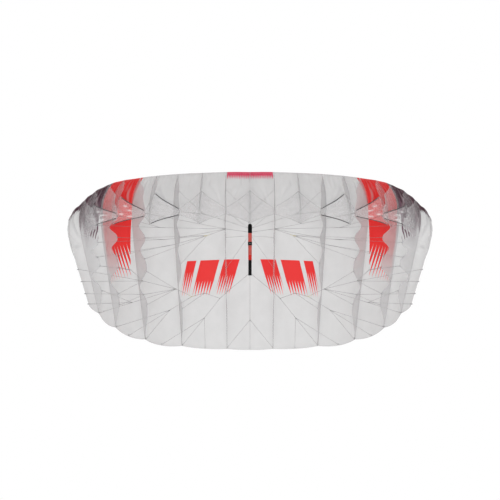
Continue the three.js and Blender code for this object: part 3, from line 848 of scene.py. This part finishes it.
def slanted_rib(name, first, middle, last, seed):
    """Two triangles of cloth from the tabs of two full ribs, joined on the edge of the short rib between."""
    dark = abs(middle) > 2

    def apex(span, at):
        spans = np.full_like(at, float(span))
        square = sideways(spans, at)
        toward = canopy(np.full_like(at, float(middle)), at) - canopy(spans, at)
        aside = np.sign((square * toward).sum(-1, keepdims=True)) * SLANT_TAB["aside"]
        stand = ROOT + SLANT_TAB["reach"] * rib_height(spans, at)
        return canopy(spans, at) - outward(spans) * stand[:, None] + square * aside

    def place(u, v):
        side = np.abs(2 * u - 1)
        cut = 0.5 + (v - 0.5) * (1 - SLANT_CUT * 4 * side * (1 - side))
        tab_at = SLANT_TAB["from"] + (SLANT_TAB["to"] - SLANT_TAB["from"]) * cut
        shares = np.linspace(0, 1, len(SLANT_FOOT))
        foot_at = np.interp(cut, shares, [row[0] for row in SLANT_FOOT])
        stand = np.interp(cut, shares, [row[1] for row in SLANT_FOOT]) + 2 * ROOT
        spans = np.full_like(foot_at, float(middle))
        foot = canopy(spans, foot_at) - outward(spans) * stand[:, None]
        tabs = np.where((u < 0.5)[:, None], apex(first, tab_at), apex(last, tab_at))
        points = foot + (tabs - foot) * side[:, None]
        square = outward(spans)
        belly = np.sin(math.pi * side)
        fan = np.sin(SLANT_FAN["waves"] * math.pi * v + 1.3 * ripple(u, v, seed + 5, 0.5)) * belly**0.7
        small = ripple(u * 0.3, v * 0.2, seed, SLANT_WAVE["size"])
        sag = SLANT_SAG * belly * np.sin(math.pi * v)
        sag = sag + SLANT_FAN["height"] * fan + SLANT_WAVE["height"] * belly * small
        return points + square * sag[:, None]

    def tall(u):
        """How tall the cloth is from its front edge to its rear edge."""
        return SLANT_FLAT["at_tab"] + SLANT_FLAT["at_middle"] * (1 - np.abs(2 * u - 1))

    def flat(u, v):
        return (u - 0.5) * SLANT_FLAT["wide"], -v * tall(u)

    def marks(u, v):
        side = np.abs(2 * u - 1)
        inner_half = (u < 0.5) if abs(first) < abs(last) else (u > 0.5)
        black = np.where(inner_half & dark & (side > 0.06), 1.0, GREY_EDGE)
        glint = 0 * u
        for t, start, end in GLINTS:
            along = np.clip((side - start) / (end - start), 0, 1)
            glint = glint + np.sin(math.pi * along) ** 2 * np.exp(-(((v - t) / GLINT_WIDTH) ** 2))
        glint = glint * (1.0 if abs(middle) > 3 else INNER_GLINT)
        free = np.minimum(np.minimum(v, 1 - v) * tall(u), 0.003 + side * SLANT_FLAT["wide"] / 2)
        cover = SLANT_COVER + 0.07 * (1 - side) ** 3
        return {"free_m": free, "black_tape": black, "glint": glint, "shade": 0 * u + 1, "cover": cover}

    def hem(u, v):
        return np.where(marks(u, v)["free_m"] < TAPE, 1.0, 0.0)

    return cut_sheet(name, *SLANT_GRID, place, flat, marks, hem)


rib_cloth, tree, shader = finish_of(
    "rib_cloth", Specular_IOR_Level=0.5, Sheen_Weight=0.12, Sheen_Roughness=0.4
)
RIB_GREY = (0.600, 0.594, 0.597)
SHADE_GREY = (0.620, 0.614, 0.617)
GLINT_GREY = (0.95, 0.945, 0.94)
TAPE_GREY = (0.54, 0.535, 0.54)
TAPE_BLACK = (0.012, 0.012, 0.014)
GLINT_OPAQUE = 0.22
TAPE_OPAQUE = 0.04
BLACK_OPAQUE = 0.95
flat_metres = own_flat(tree)
weave_of = grouped(tree, ripstop, {"Flat metres": flat_metres, "Pitch": RIPSTOP_PITCH})
along = parts_of(tree, flat_metres)[1]
edge_sockets = {"Edge metres": mark(tree, "free_m"), "Along metres": along, "Fold": TAPE, "Stitch": STITCH}
sewn = grouped(tree, sewn_edge, edge_sockets)
tape = tint(tree, mark(tree, "black_tape"), TAPE_GREY, TAPE_BLACK)
uneven = ease(tree, weave_of["Unevenness"], 0.25, 0.75)
colour = tint(tree, uneven, RIB_GREY, tuple(0.95 * c for c in RIB_GREY))
colour = tint(tree, mark(tree, "shade"), colour, SHADE_GREY)
colour = tint(tree, mark(tree, "glint"), colour, GLINT_GREY)
colour = tint(tree, sewn["Doubled"], colour, tape)
colour = tint(tree, sum_of(tree, "MULTIPLY", sewn["Thread"], 0.5), colour, THREAD_GREY)
tree.links.new(colour, shader.inputs["Base Color"])
black_edge = sum_of(tree, "MULTIPLY", sewn["Doubled"], mark(tree, "black_tape"))
opaque = sum_of(tree, "MULTIPLY_ADD", mark(tree, "glint"), GLINT_OPAQUE, mark(tree, "cover"))
opaque = sum_of(tree, "MULTIPLY_ADD", sewn["Doubled"], TAPE_OPAQUE, opaque)
opaque = sum_of(tree, "MAXIMUM", opaque, sum_of(tree, "MULTIPLY", black_edge, BLACK_OPAQUE))
tree.links.new(opaque, shader.inputs["Alpha"])
tree.links.new(ease(tree, weave_of["Unevenness"], 0.2, 0.8, 0.38, 0.55), shader.inputs["Roughness"])
tree.links.new(relief(tree, weave_of["Height"], 0.35), shader.inputs["Normal"])

# Where the tabs of each full rib take a line, along its chord.
TAB_LOOPS = {
    1: (0.10, 0.22, 0.37, 0.54, REAR),
    2: (0.10, 0.22, 0.37, 0.52, 0.78, REAR),
    3: (0.22, 0.37, 0.50, 0.58, 0.78, REAR),
    4: (0.22, 0.37, 0.50, 0.58, 0.76, 0.84, REAR),
    5: (0.22, 0.37, 0.50, 0.58, 0.80, REAR),
}


def sew_rib(cut, solid, loops=()):
    cloth, cut_size, area = cut
    cloth.data.materials.append(rib_cloth)
    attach(cloth, "root")
    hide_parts(solid)


def short_height(at):
    return edge_height(NOSE_EDGE, at)


def add_full_rib(number, side, word):
    def height(at):
        return rib_height(np.full_like(at, float(number)), at)

    label = f"{number}_{word}"
    cut = standing_rib(f"full_rib_{label}", side * number, 1, height, FULL_GRID, SEEDS["full"] + number)
    tabs = [(side * number, at, float(height(np.array([at]))[0])) for at in TAB_LOOPS[number]]
    sew_rib(cut, f"rib_{label}", [tape_loops(f"tab_loops_{label}", tabs)])


def add_cell_ribs(label, first, middle, last, number):
    """The short rib in the middle of a cell and the slanted rib that it carries."""
    reach = NOSE_EDGE[-1][0]
    seed = SEEDS["short"] + number
    short = standing_rib(f"short_rib_{label}", middle, reach, short_height, SHORT_GRID, seed)
    sew_rib(short, f"nose_rib_{label}")
    slanted = slanted_rib(f"slanted_rib_{label}", first, middle, last, SEEDS["slanted"] + number)
    sew_rib(slanted, f"diagonal_rib_{label}")


add_cell_ribs("centre", -1, 0, 1, 0)
for side, word in ((-1, "left"), (1, "right")):
    for i in range(1, RIBS + 1):
        add_full_rib(i, side, word)
        if i < RIBS:
            first, last = sorted((side * i, side * (i + 1)))
            add_cell_ribs(f"{i + 1}_{word}", first, side * (i + 0.5), last, i)

# Bridle lines. Thin braided lines run from the bar to the tabs and the rear edge, and split on the way. Each
# is spliced back into itself at both ends. It is knotted on the bar and at the splits, and at the cloth it
# ends in an eye that a tape loop holds.
LINE = 0.00075
SPLICE = 0.00105
SPLICE_LENGTH = 0.050
LINE_SIDES = 8
LOOP_SIDES = 6
EYE = 0.0066
CAP_RADIUS = 0.0127
UPPER_RADIUS = 0.0116
GRIP_RADIUS = 0.0104
CAP_FOOT = 0.105
KNOT = {"reach": 0.0026, "radius": 0.0017, "turns": 2.3, "steps": 26}
KNOT_SEAT = 0.55
EYE_LOOP = {"long": 0.0104, "back": 0.002, "wide": 0.0044, "steps": 14}
WHIPPING = {"from": 0.004, "to": 0.030, "swell": 1.35, "steps": 5}

# Where lines split, in metres: off the middle, behind the bar and up.
FORKS = {
    "front_middle": (0, 0.350, 0.233),
    "front_inner": (0.205, 0.566, 0.208),
    "front_half": (0.320, 0.880, 0.247),
    "front_lead": (0.152, 0.160, 0.133),
    "front_fan": (0.276, 0.290, 0.093),
    "fan_first": (0.600, 0.640, 0.150),
    "fan_second": (0.571, 0.600, 0.070),
    "fan_third": (0.515, 0.540, 0.033),
    "rear_middle": (0, 0.863, -0.478),
    "rear_lead": (0.140, 0.215, -0.261),
    "rear_split": (0.193, 0.295, -0.311),
    "rear_brake": (0.312, 0.872, -0.465),
    "rear_out": (0.292, 0.377, -0.279),
    "rear_run": (0.381, 0.493, -0.305),
    "rear_edge": (0.537, 0.695, -0.403),
    "rear_knot": (0.485, 0.475, -0.256),
    "tip_fan": (0.708, 0.567, -0.205),
    "tip_high": (0.799, 0.700, -0.134),
    "tip_low": (0.696, 0.497, -0.292),
    "tip_corner": (0.780, 0.557, -0.347),
}

# Where lines are tied on the bar: degrees round it from the canopy's side, and the height.
TIES = {
    "top_middle": (0, 0.146),
    "top_inner": (48, 0.136),
    "top_outer": (60, 0.112),
    "top_second": (32, 0.088),
    "low_outer": (50, -0.150),
    "low_middle": (0, -0.152),
}
WHIPPED = ("front_fan", "rear_run")


def fork(name, side):
    x, y, z = FORKS[name]
    return np.array([side * x, y, z])


def on_bar(name, side, radius):
    """Where a line is tied: turned round the bar from the canopy's side, at the tie's height."""
    turned, height = TIES[name]
    angle = math.radians(turned)
    return np.array([side * radius * math.sin(angle), radius * math.cos(angle), height])


def tie(name, side):
    """A line's end on the bar, with its knot sunk part of the way into its dish."""
    height = TIES[name][1]
    radius = CAP_RADIUS if height > CAP_FOOT else UPPER_RADIUS if height > 0 else GRIP_RADIUS
    return on_bar(name, side, radius + KNOT["reach"] * KNOT_SEAT)


def add_strand(parts, start, end, whip_start, whip_end):
    """A taut line with a thicker splice at both ends."""
    run = end - start
    length = np.linalg.norm(run)
    splice = min(SPLICE_LENGTH, length * 0.3)
    places = np.array([0, 0.3, 0.9, 1.25]) * splice
    places = np.concatenate([places, [length / 2], length - places[::-1]])
    thick = np.array([SPLICE, SPLICE, SPLICE, LINE, LINE, LINE, SPLICE, SPLICE, SPLICE])
    reference = (0, 0, 1) if abs(run[2]) < 0.8 * length else (1, 0, 0)
    path = start + np.outer(places / length, run)
    add_tube(parts, path, np.stack([thick, thick], -1), reference, LINE_SIDES)
    for point, towards, whip in ((start, run, whip_start), (end, -run, whip_end)):
        if whip:
            steps = np.linspace(WHIPPING["from"], WHIPPING["to"], WHIPPING["steps"])
            over = point + np.outer(steps, unit(towards))
            radii = np.full((len(steps), 2), SPLICE * WHIPPING["swell"])
            add_tube(parts, over, radii, reference, LINE_SIDES, whip=1.0)


def add_knot(parts, place, axis, whip):
    """Two turns of line pulled tight round the others where a line splits or is tied."""
    axis = unit(axis)
    aside = unit(np.cross(axis, (0.3, 0.9, 0.2)))
    other = np.cross(axis, aside)
    steps, radius = KNOT["steps"], KNOT["radius"]
    turn = np.linspace(0, KNOT["turns"] * FULL_TURN, steps)
    path = place + radius * (np.outer(np.cos(turn), aside) + np.outer(np.sin(turn), other))
    path = path + np.outer(np.linspace(-radius, radius, steps), axis)
    add_tube(parts, path, np.full((steps, 2), LINE), axis, LOOP_SIDES, whip=whip)


def add_eye(parts, place, towards, aside):
    """The small loop of line at a strand's end."""
    steps = EYE_LOOP["steps"]
    turn = np.arange(steps) * FULL_TURN / steps
    along = EYE_LOOP["long"] / 2 * (1 - np.cos(turn)) - EYE_LOOP["back"]
    over = EYE_LOOP["wide"] / 2 * np.sin(turn)
    path = place + np.outer(along, towards) + np.outer(over, aside)
    radii = np.full((steps, 2), LINE * 0.85)
    add_tube(parts, path, radii, np.cross(towards, aside), LOOP_SIDES, closed=True)


line_braid, tree, shader = finish_of("line_braid", Specular_IOR_Level=0.3, Sheen_Weight=0.2)
LINE_GREY = (0.210, 0.206, 0.202)
LINE_DARK = (0.090, 0.088, 0.087)
WHIP_YELLOW = (0.42, 0.36, 0.20)
BRAID_PITCH = 0.0022
flat_parts = parts_of(tree, own_flat(tree))
climb = sum_of(tree, "DIVIDE", flat_parts[1], BRAID_PITCH)
strands = []
for way in (2.0, -2.0):
    turned = sum_of(tree, "MULTIPLY_ADD", flat_parts[0], way, climb)
    strands.append(sum_of(tree, "PINGPONG", turned, 0.5))
braid = sum_of(tree, "MAXIMUM", *strands)
colour = tint(tree, ease(tree, braid, 0.2, 0.5), LINE_DARK, LINE_GREY)
tree.links.new(tint(tree, mark(tree, "whip"), colour, WHIP_YELLOW), shader.inputs["Base Color"])
tree.links.new(ease(tree, braid, 0.2, 0.5, 0.85, 0.65), shader.inputs["Roughness"])
tree.links.new(relief(tree, sum_of(tree, "MULTIPLY", braid, 0.0003), 0.7), shader.inputs["Normal"])

# The rows of each line: where it comes from, and the forks (by name), tabs (rib and place along the chord)
# and places on the cloth that it runs to.
CENTRE_LINES = {
    "front_centre": (
        ("top_middle", ("front_middle",)),
        ("front_middle", (("tab", -1, 0.1), ("tab", 1, 0.1))),
    ),
    "rear_centre": (
        ("low_middle", ("rear_middle",)),
        ("rear_middle", (("tab", -1, REAR), ("cloth", 0, REAR), ("tab", 1, REAR))),
    ),
}
SIDE_LINES = {
    "front_inner": (
        ("top_inner", ("front_inner", ("tab", 1, 0.22))),
        ("front_inner", ("front_half",)),
        ("front_half", (("tab", 2, 0.22), ("tab", 2, 0.1))),
    ),
    "second_inner": (("top_second", (("tab", 1, 0.37), ("tab", 1, 0.54))),),
    "front_outer": (
        ("top_outer", ("front_lead",)),
        ("front_lead", ("front_fan", ("tab", 2, 0.37), ("tab", 3, 0.22), "fan_first")),
        ("fan_first", (("tab", 4, 0.22), ("tab", 5, 0.22))),
        ("front_fan", (("tab", 2, 0.52), ("tab", 3, 0.37), ("tab", 3, 0.5), "fan_second", "fan_third")),
        ("fan_second", (("tab", 4, 0.37), ("tab", 5, 0.37))),
        ("fan_third", (("tab", 4, 0.5), ("tab", 5, 0.5))),
    ),
    "rear_outer": (
        ("low_outer", ("rear_lead",)),
        ("rear_lead", ("rear_split",)),
        ("rear_split", ("rear_brake", "rear_out")),
        ("rear_brake", (("cloth", 1.5, REAR), ("tab", 2, REAR), ("cloth", 2.5, REAR))),
        ("rear_out", (("tab", 2, 0.78), "rear_run")),
        ("rear_run", ("rear_edge", "rear_knot")),
        ("rear_edge", (("tab", 3, REAR), ("cloth", 3.5, REAR), ("tab", 4, REAR))),
        ("rear_knot", (("tab", 3, 0.58), ("tab", 3, 0.78), "tip_fan", "tip_low", "tip_corner")),
        ("tip_fan", ("tip_high", ("cloth", TIP_EDGE, 0.58), ("cloth", TIP_EDGE, 0.72), ("tab", 4, 0.76))),
        ("tip_high", (("tab", 4, 0.58), ("tab", 5, 0.58))),
        ("tip_low", (("cloth", TIP_EDGE, 0.86), ("tab", 4, 0.84))),
        ("tip_corner", (("tab", 5, 0.8), ("cloth", TIP_EDGE, 0.98), ("tab", 5, REAR))),
    ),
}


def rig_line(label, solid, rows, side):
    """One line with all its branches, down to the tape loops that take its ends."""
    parts = empty_parts()
    for number, (origin, ends) in enumerate(rows):
        tied = number == 0
        start = tie(origin, side) if tied else fork(origin, side)
        whip = float(not tied and origin in WHIPPED)
        heading = 0
        for end in ends:
            if isinstance(end, str):
                goal = fork(end, side)
                add_strand(parts, start, goal, whip, float(end in WHIPPED))
            else:
                kind, place, at = end
                span = side * place
                stand = 0.0
                if kind == "tab":
                    stand = float(rib_height(np.array([float(span)]), np.array([at]))[0])
                foot, inward, chordwise, aside = on_cloth(span, at, stand)
                goal = foot + inward * (LOOP_TAPE["stand"] + EYE)
                add_strand(parts, start, goal, whip, 0.0)
                add_eye(parts, goal, unit(foot + inward * 0.003 - goal), chordwise)
            heading = heading + unit(goal - start)
        add_knot(parts, start, heading, whip)
    bridle = mesh_of(f"bridle_{label}", parts)
    bridle.data.materials.append(line_braid)
    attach(bridle, "root")
    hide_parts(solid)


for label, rows in CENTRE_LINES.items():
    rig_line(label, f"line_{label}", rows, 1)
for side, word in ((-1, "left"), (1, "right")):
    for label, rows in SIDE_LINES.items():
        rig_line(f"{label}_{word}", f"line_{label}_{word}", rows, side)

# The bar. A tube of 25 mm with a moulded black cap at its front end, two red sleeves with a black ring
# between them, a band of deeper red and a black foam grip. The sleeves are slid on and butt together.
TURN_SIDES = 64
BAR_ENDS = {"front": 0.163, "cap": 0.105, "ring_top": 0.051, "ring_foot": 0.029, "red_foot": -0.030,
            "grip_top": -0.062, "rear": -0.158}
BUTT = 0.0003


def turn(name, rings):
    """A round piece about the bar's axis, pulled up ring by ring from a disc: a radius and height each."""
    bpy.ops.object.select_all(action="DESELECT")
    radius, height = rings[0]
    bpy.ops.mesh.primitive_circle_add(vertices=TURN_SIDES, radius=1, fill_type="NGON")
    made = bpy.context.object
    made.name = name
    made.data.name = name
    bpy.ops.object.mode_set(mode="EDIT")
    bpy.ops.mesh.select_all(action="SELECT")
    bpy.ops.transform.resize(value=(radius, radius, 1), center_override=(0, 0, 0))
    bpy.ops.transform.translate(value=(0, 0, height))
    for next_radius, next_height in rings[1:]:
        bpy.ops.mesh.extrude_region_move(TRANSFORM_OT_translate={"value": (0, 0, next_height - height)})
        share = next_radius / radius
        bpy.ops.transform.resize(value=(share, share, 1), center_override=(0, 0, next_height))
        radius, height = next_radius, next_height
    bpy.ops.mesh.select_all(action="SELECT")
    bpy.ops.mesh.remove_doubles(threshold=0.000005)
    bpy.ops.mesh.normals_make_consistent(inside=False)
    bpy.ops.object.mode_set(mode="OBJECT")
    return made


def rounded(radius, foot, top, edge, between=()):
    """Rings of a sleeve whose two rims are rounded, with the rings given between them."""
    steps = [math.radians(a) for a in (0, 22, 45, 67, 90)]
    low = [(radius - edge + edge * math.sin(a), foot + edge - edge * math.cos(a)) for a in steps]
    high = [(radius - edge + edge * math.cos(a), top - edge + edge * math.sin(a)) for a in steps]
    return [*low, *between, *high]


def press_in(made, centres, reach, depth, rim):
    """Sinks a small dish, or raises a stud where depth is negative, in the faces near each centre."""
    for centre in centres:
        bpy.ops.object.select_all(action="DESELECT")
        made.select_set(True)
        bpy.context.view_layer.objects.active = made
        bpy.ops.object.mode_set(mode="EDIT")
        bpy.ops.mesh.select_all(action="DESELECT")
        shape = bmesh.from_edit_mesh(made.data)
        shape.faces.ensure_lookup_table()
        chosen = [f for f in shape.faces if np.linalg.norm(np.array(f.calc_center_median()) - centre) < reach]
        for face in chosen:
            face.select_set(True)
        bmesh.update_edit_mesh(made.data)
        inward = -unit(np.array([centre[0], centre[1], 0.0]))
        bpy.ops.mesh.inset(thickness=rim, use_individual=False)
        bpy.ops.mesh.extrude_region_move(TRANSFORM_OT_translate={"value": tuple(inward * depth)})
        bpy.ops.object.mode_set(mode="OBJECT")


def tied_at(names, radius):
    """The places where lines are tied on a piece of the bar: one in the middle, or one on each side."""
    places = []
    for name in names:
        sides = (1,) if TIES[name][0] == 0 else (-1, 1)
        for side in sides:
            places.append(on_bar(name, side, radius))
    return places


def dress_bar(made, solid, finish):
    made.data.materials.append(finish)
    bpy.ops.object.select_all(action="DESELECT")
    made.select_set(True)
    bpy.context.view_layer.objects.active = made
    bpy.ops.object.shade_smooth_by_angle(angle=math.radians(35))
    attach(made, "root")
    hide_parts(solid)


def bar_finish(name, pale, deep, rough, grain_scale, grain_height, coat, gloss):
    """A moulded or sleeved surface: a little uneven in colour, scuffed paler in places, and finely grained.
    """
    made, tree, shader = finish_of(name, Specular_IOR_Level=gloss, Coat_Weight=coat, Coat_Roughness=0.25)
    place = node(tree, "ShaderNodeTexCoord").outputs["Object"]
    patches = noise(tree, place, 60.0, 4.0)
    grain = noise(tree, place, grain_scale, 2.0)
    scuffs = noise(tree, place, 220.0, 3.0)
    colour = tint(tree, ease(tree, patches, 0.3, 0.7), deep, pale)
    worn = sum_of(tree, "MULTIPLY", ease(tree, scuffs, 0.58, 0.70), 0.25)
    lighter = tuple(min(1, 1.5 * c + 0.006) for c in pale)
    tree.links.new(tint(tree, worn, colour, lighter), shader.inputs["Base Color"])
    tree.links.new(ease(tree, patches, 0.3, 0.7, rough - 0.06, rough + 0.08), shader.inputs["Roughness"])
    height = sum_of(tree, "MULTIPLY", grain, grain_height)
    tree.links.new(relief(tree, height, 0.8), shader.inputs["Normal"])
    return made


# Each finish: its two colours, roughness, scale and height of its grain, coat and gloss.
DEEP_BLACK = (0.002, 0.002, 0.002)
BLACK = (0.004, 0.004, 0.004)
cap_finish = bar_finish("bar_cap_finish", BLACK, DEEP_BLACK, 0.55, 900.0, 0.00010, 0.0, 0.04)
ring_finish = bar_finish("bar_ring_finish", BLACK, DEEP_BLACK, 0.40, 900.0, 0.00006, 0.0, 0.10)
red_finish = bar_finish(
    "bar_red_finish", (0.40, 0.050, 0.036), (0.32, 0.034, 0.024), 0.38, 700.0, 0.00012, 0.1, 0.4
)
deep_finish = bar_finish(
    "bar_deep_red_finish", (0.46, 0.010, 0.005), (0.40, 0.007, 0.004), 0.5, 700.0, 0.00012, 0.0, 0.2
)
grip_finish = bar_finish(
    "bar_grip_finish", (0.006, 0.005, 0.006), (0.003, 0.003, 0.003), 0.85, 1500.0, 0.00035, 0.0, 0.12
)
# The stud's pale grey is a painted highlight, on the ring's front towards the camera.
stud_highlight_finish = bar_finish(
    "bar_stud_finish", (0.16, 0.15, 0.155), (0.12, 0.115, 0.12), 0.35, 900.0, 0.00004, 0.0, 0.5
)

WAIST = 0.0007
DISH = {"reach": 0.0028, "rim": 0.0004, "depth": 0.0008}
dome_foot = BAR_ENDS["front"] - CAP_RADIUS
cap_foot = BAR_ENDS["cap"]
foot = [(CAP_RADIUS - 0.0008, cap_foot + BUTT), (CAP_RADIUS, cap_foot + BUTT + 0.0008)]
waist = [
    (CAP_RADIUS, cap_foot + 0.0020),
    (CAP_RADIUS - WAIST, cap_foot + 0.0026),
    (CAP_RADIUS - WAIST, cap_foot + 0.0038),
]
shaft = [(CAP_RADIUS, z) for z in np.linspace(cap_foot + 0.0045, dome_foot, 12)]
climbs = np.radians(np.arange(10, 90, 10))
dome = [(CAP_RADIUS * math.cos(a), dome_foot + CAP_RADIUS * math.sin(a)) for a in climbs]
cap = turn("bar_cap", [*foot, *waist, *shaft, *dome, (0.0004, BAR_ENDS["front"])])
press_in(cap, tied_at(("top_middle", "top_inner", "top_outer"), CAP_RADIUS), **DISH)
dress_bar(cap, "bar_front_cap", cap_finish)

swell = np.linspace(-1, 1, 9)
crown = [(UPPER_RADIUS - 0.00025 * (1 - abs(k)), z) for k, z in zip(swell, np.linspace(0.054, 0.102, 9))]
upper_ends = (BAR_ENDS["ring_top"] + BUTT, BAR_ENDS["cap"])
upper = turn("bar_upper_red", rounded(UPPER_RADIUS, *upper_ends, 0.0009, crown))
dress_bar(upper, "bar_upper_sleeve", red_finish)

RING_RADIUS = 0.0136
SADDLE = 0.0009
ring_middle = (BAR_ENDS["ring_top"] + BAR_ENDS["ring_foot"]) / 2
saddle = [(RING_RADIUS, ring_middle - 0.0075)]
for step in (-0.0062, -0.0036, -0.0018, 0, 0.0018, 0.0036, 0.0062):
    saddle.append((RING_RADIUS - SADDLE, ring_middle + step))
saddle += [(RING_RADIUS, ring_middle + 0.0075)]
ring = turn("bar_collar", rounded(RING_RADIUS, BAR_ENDS["ring_foot"], BAR_ENDS["ring_top"], 0.0012, saddle))
stud_place = np.array([0.0, -(RING_RADIUS - SADDLE), ring_middle])
press_in(ring, [stud_place], reach=0.0042, depth=-0.0006, rim=0.0005)
dress_bar(ring, "bar_ring", ring_finish)
# The front of the ring takes the stud's pale finish: a painted highlight.
ring.data.materials.append(stud_highlight_finish)
for face in ring.data.polygons:
    if face.center[1] < -(RING_RADIUS - 0.0006) and abs(face.center[2] - ring_middle) < 0.0040:
        face.material_index = 1

LOWER_RADIUS = 0.0112
belly = [(LOWER_RADIUS - 0.0002 * (1 - abs(k)), z) for k, z in zip(swell, np.linspace(-0.027, 0.026, 9))]
lower_ends = (BAR_ENDS["red_foot"] + BUTT, BAR_ENDS["ring_foot"] - BUTT)
lower = turn("bar_lower_red", rounded(LOWER_RADIUS, *lower_ends, 0.0009, belly))
dress_bar(lower, "bar_lower_sleeve", red_finish)

BAND_RADIUS = 0.011
groove = [
    (BAND_RADIUS, -0.0490),
    (BAND_RADIUS - 0.0005, -0.0485),
    (BAND_RADIUS - 0.0005, -0.0475),
    (BAND_RADIUS, -0.0470),
]
band_ends = (BAR_ENDS["grip_top"] + BUTT, BAR_ENDS["red_foot"])
band = turn("bar_deep_band", rounded(BAND_RADIUS, *band_ends, 0.0009, groove))
dress_bar(band, "bar_deep_red_band", deep_finish)

GROOVE = {"count": 11, "pitch": 0.0075, "first": 0.0090, "deep": 0.0006}
grooves = []
for k in range(GROOVE["count"]):
    z = BAR_ENDS["rear"] + GROOVE["first"] + k * GROOVE["pitch"]
    low = GRIP_RADIUS - GROOVE["deep"]
    grooves += [(GRIP_RADIUS, z), (low, z + 0.0006), (low, z + 0.0012), (GRIP_RADIUS, z + 0.0018)]
grip = turn("bar_grip", rounded(GRIP_RADIUS, BAR_ENDS["rear"], BAR_ENDS["grip_top"], 0.0012, grooves))
press_in(grip, tied_at(("low_outer", "low_middle"), GRIP_RADIUS), reach=0.0026, depth=0.0006, rim=0.0003)
dress_bar(grip, "bar_rear_grip", grip_finish)
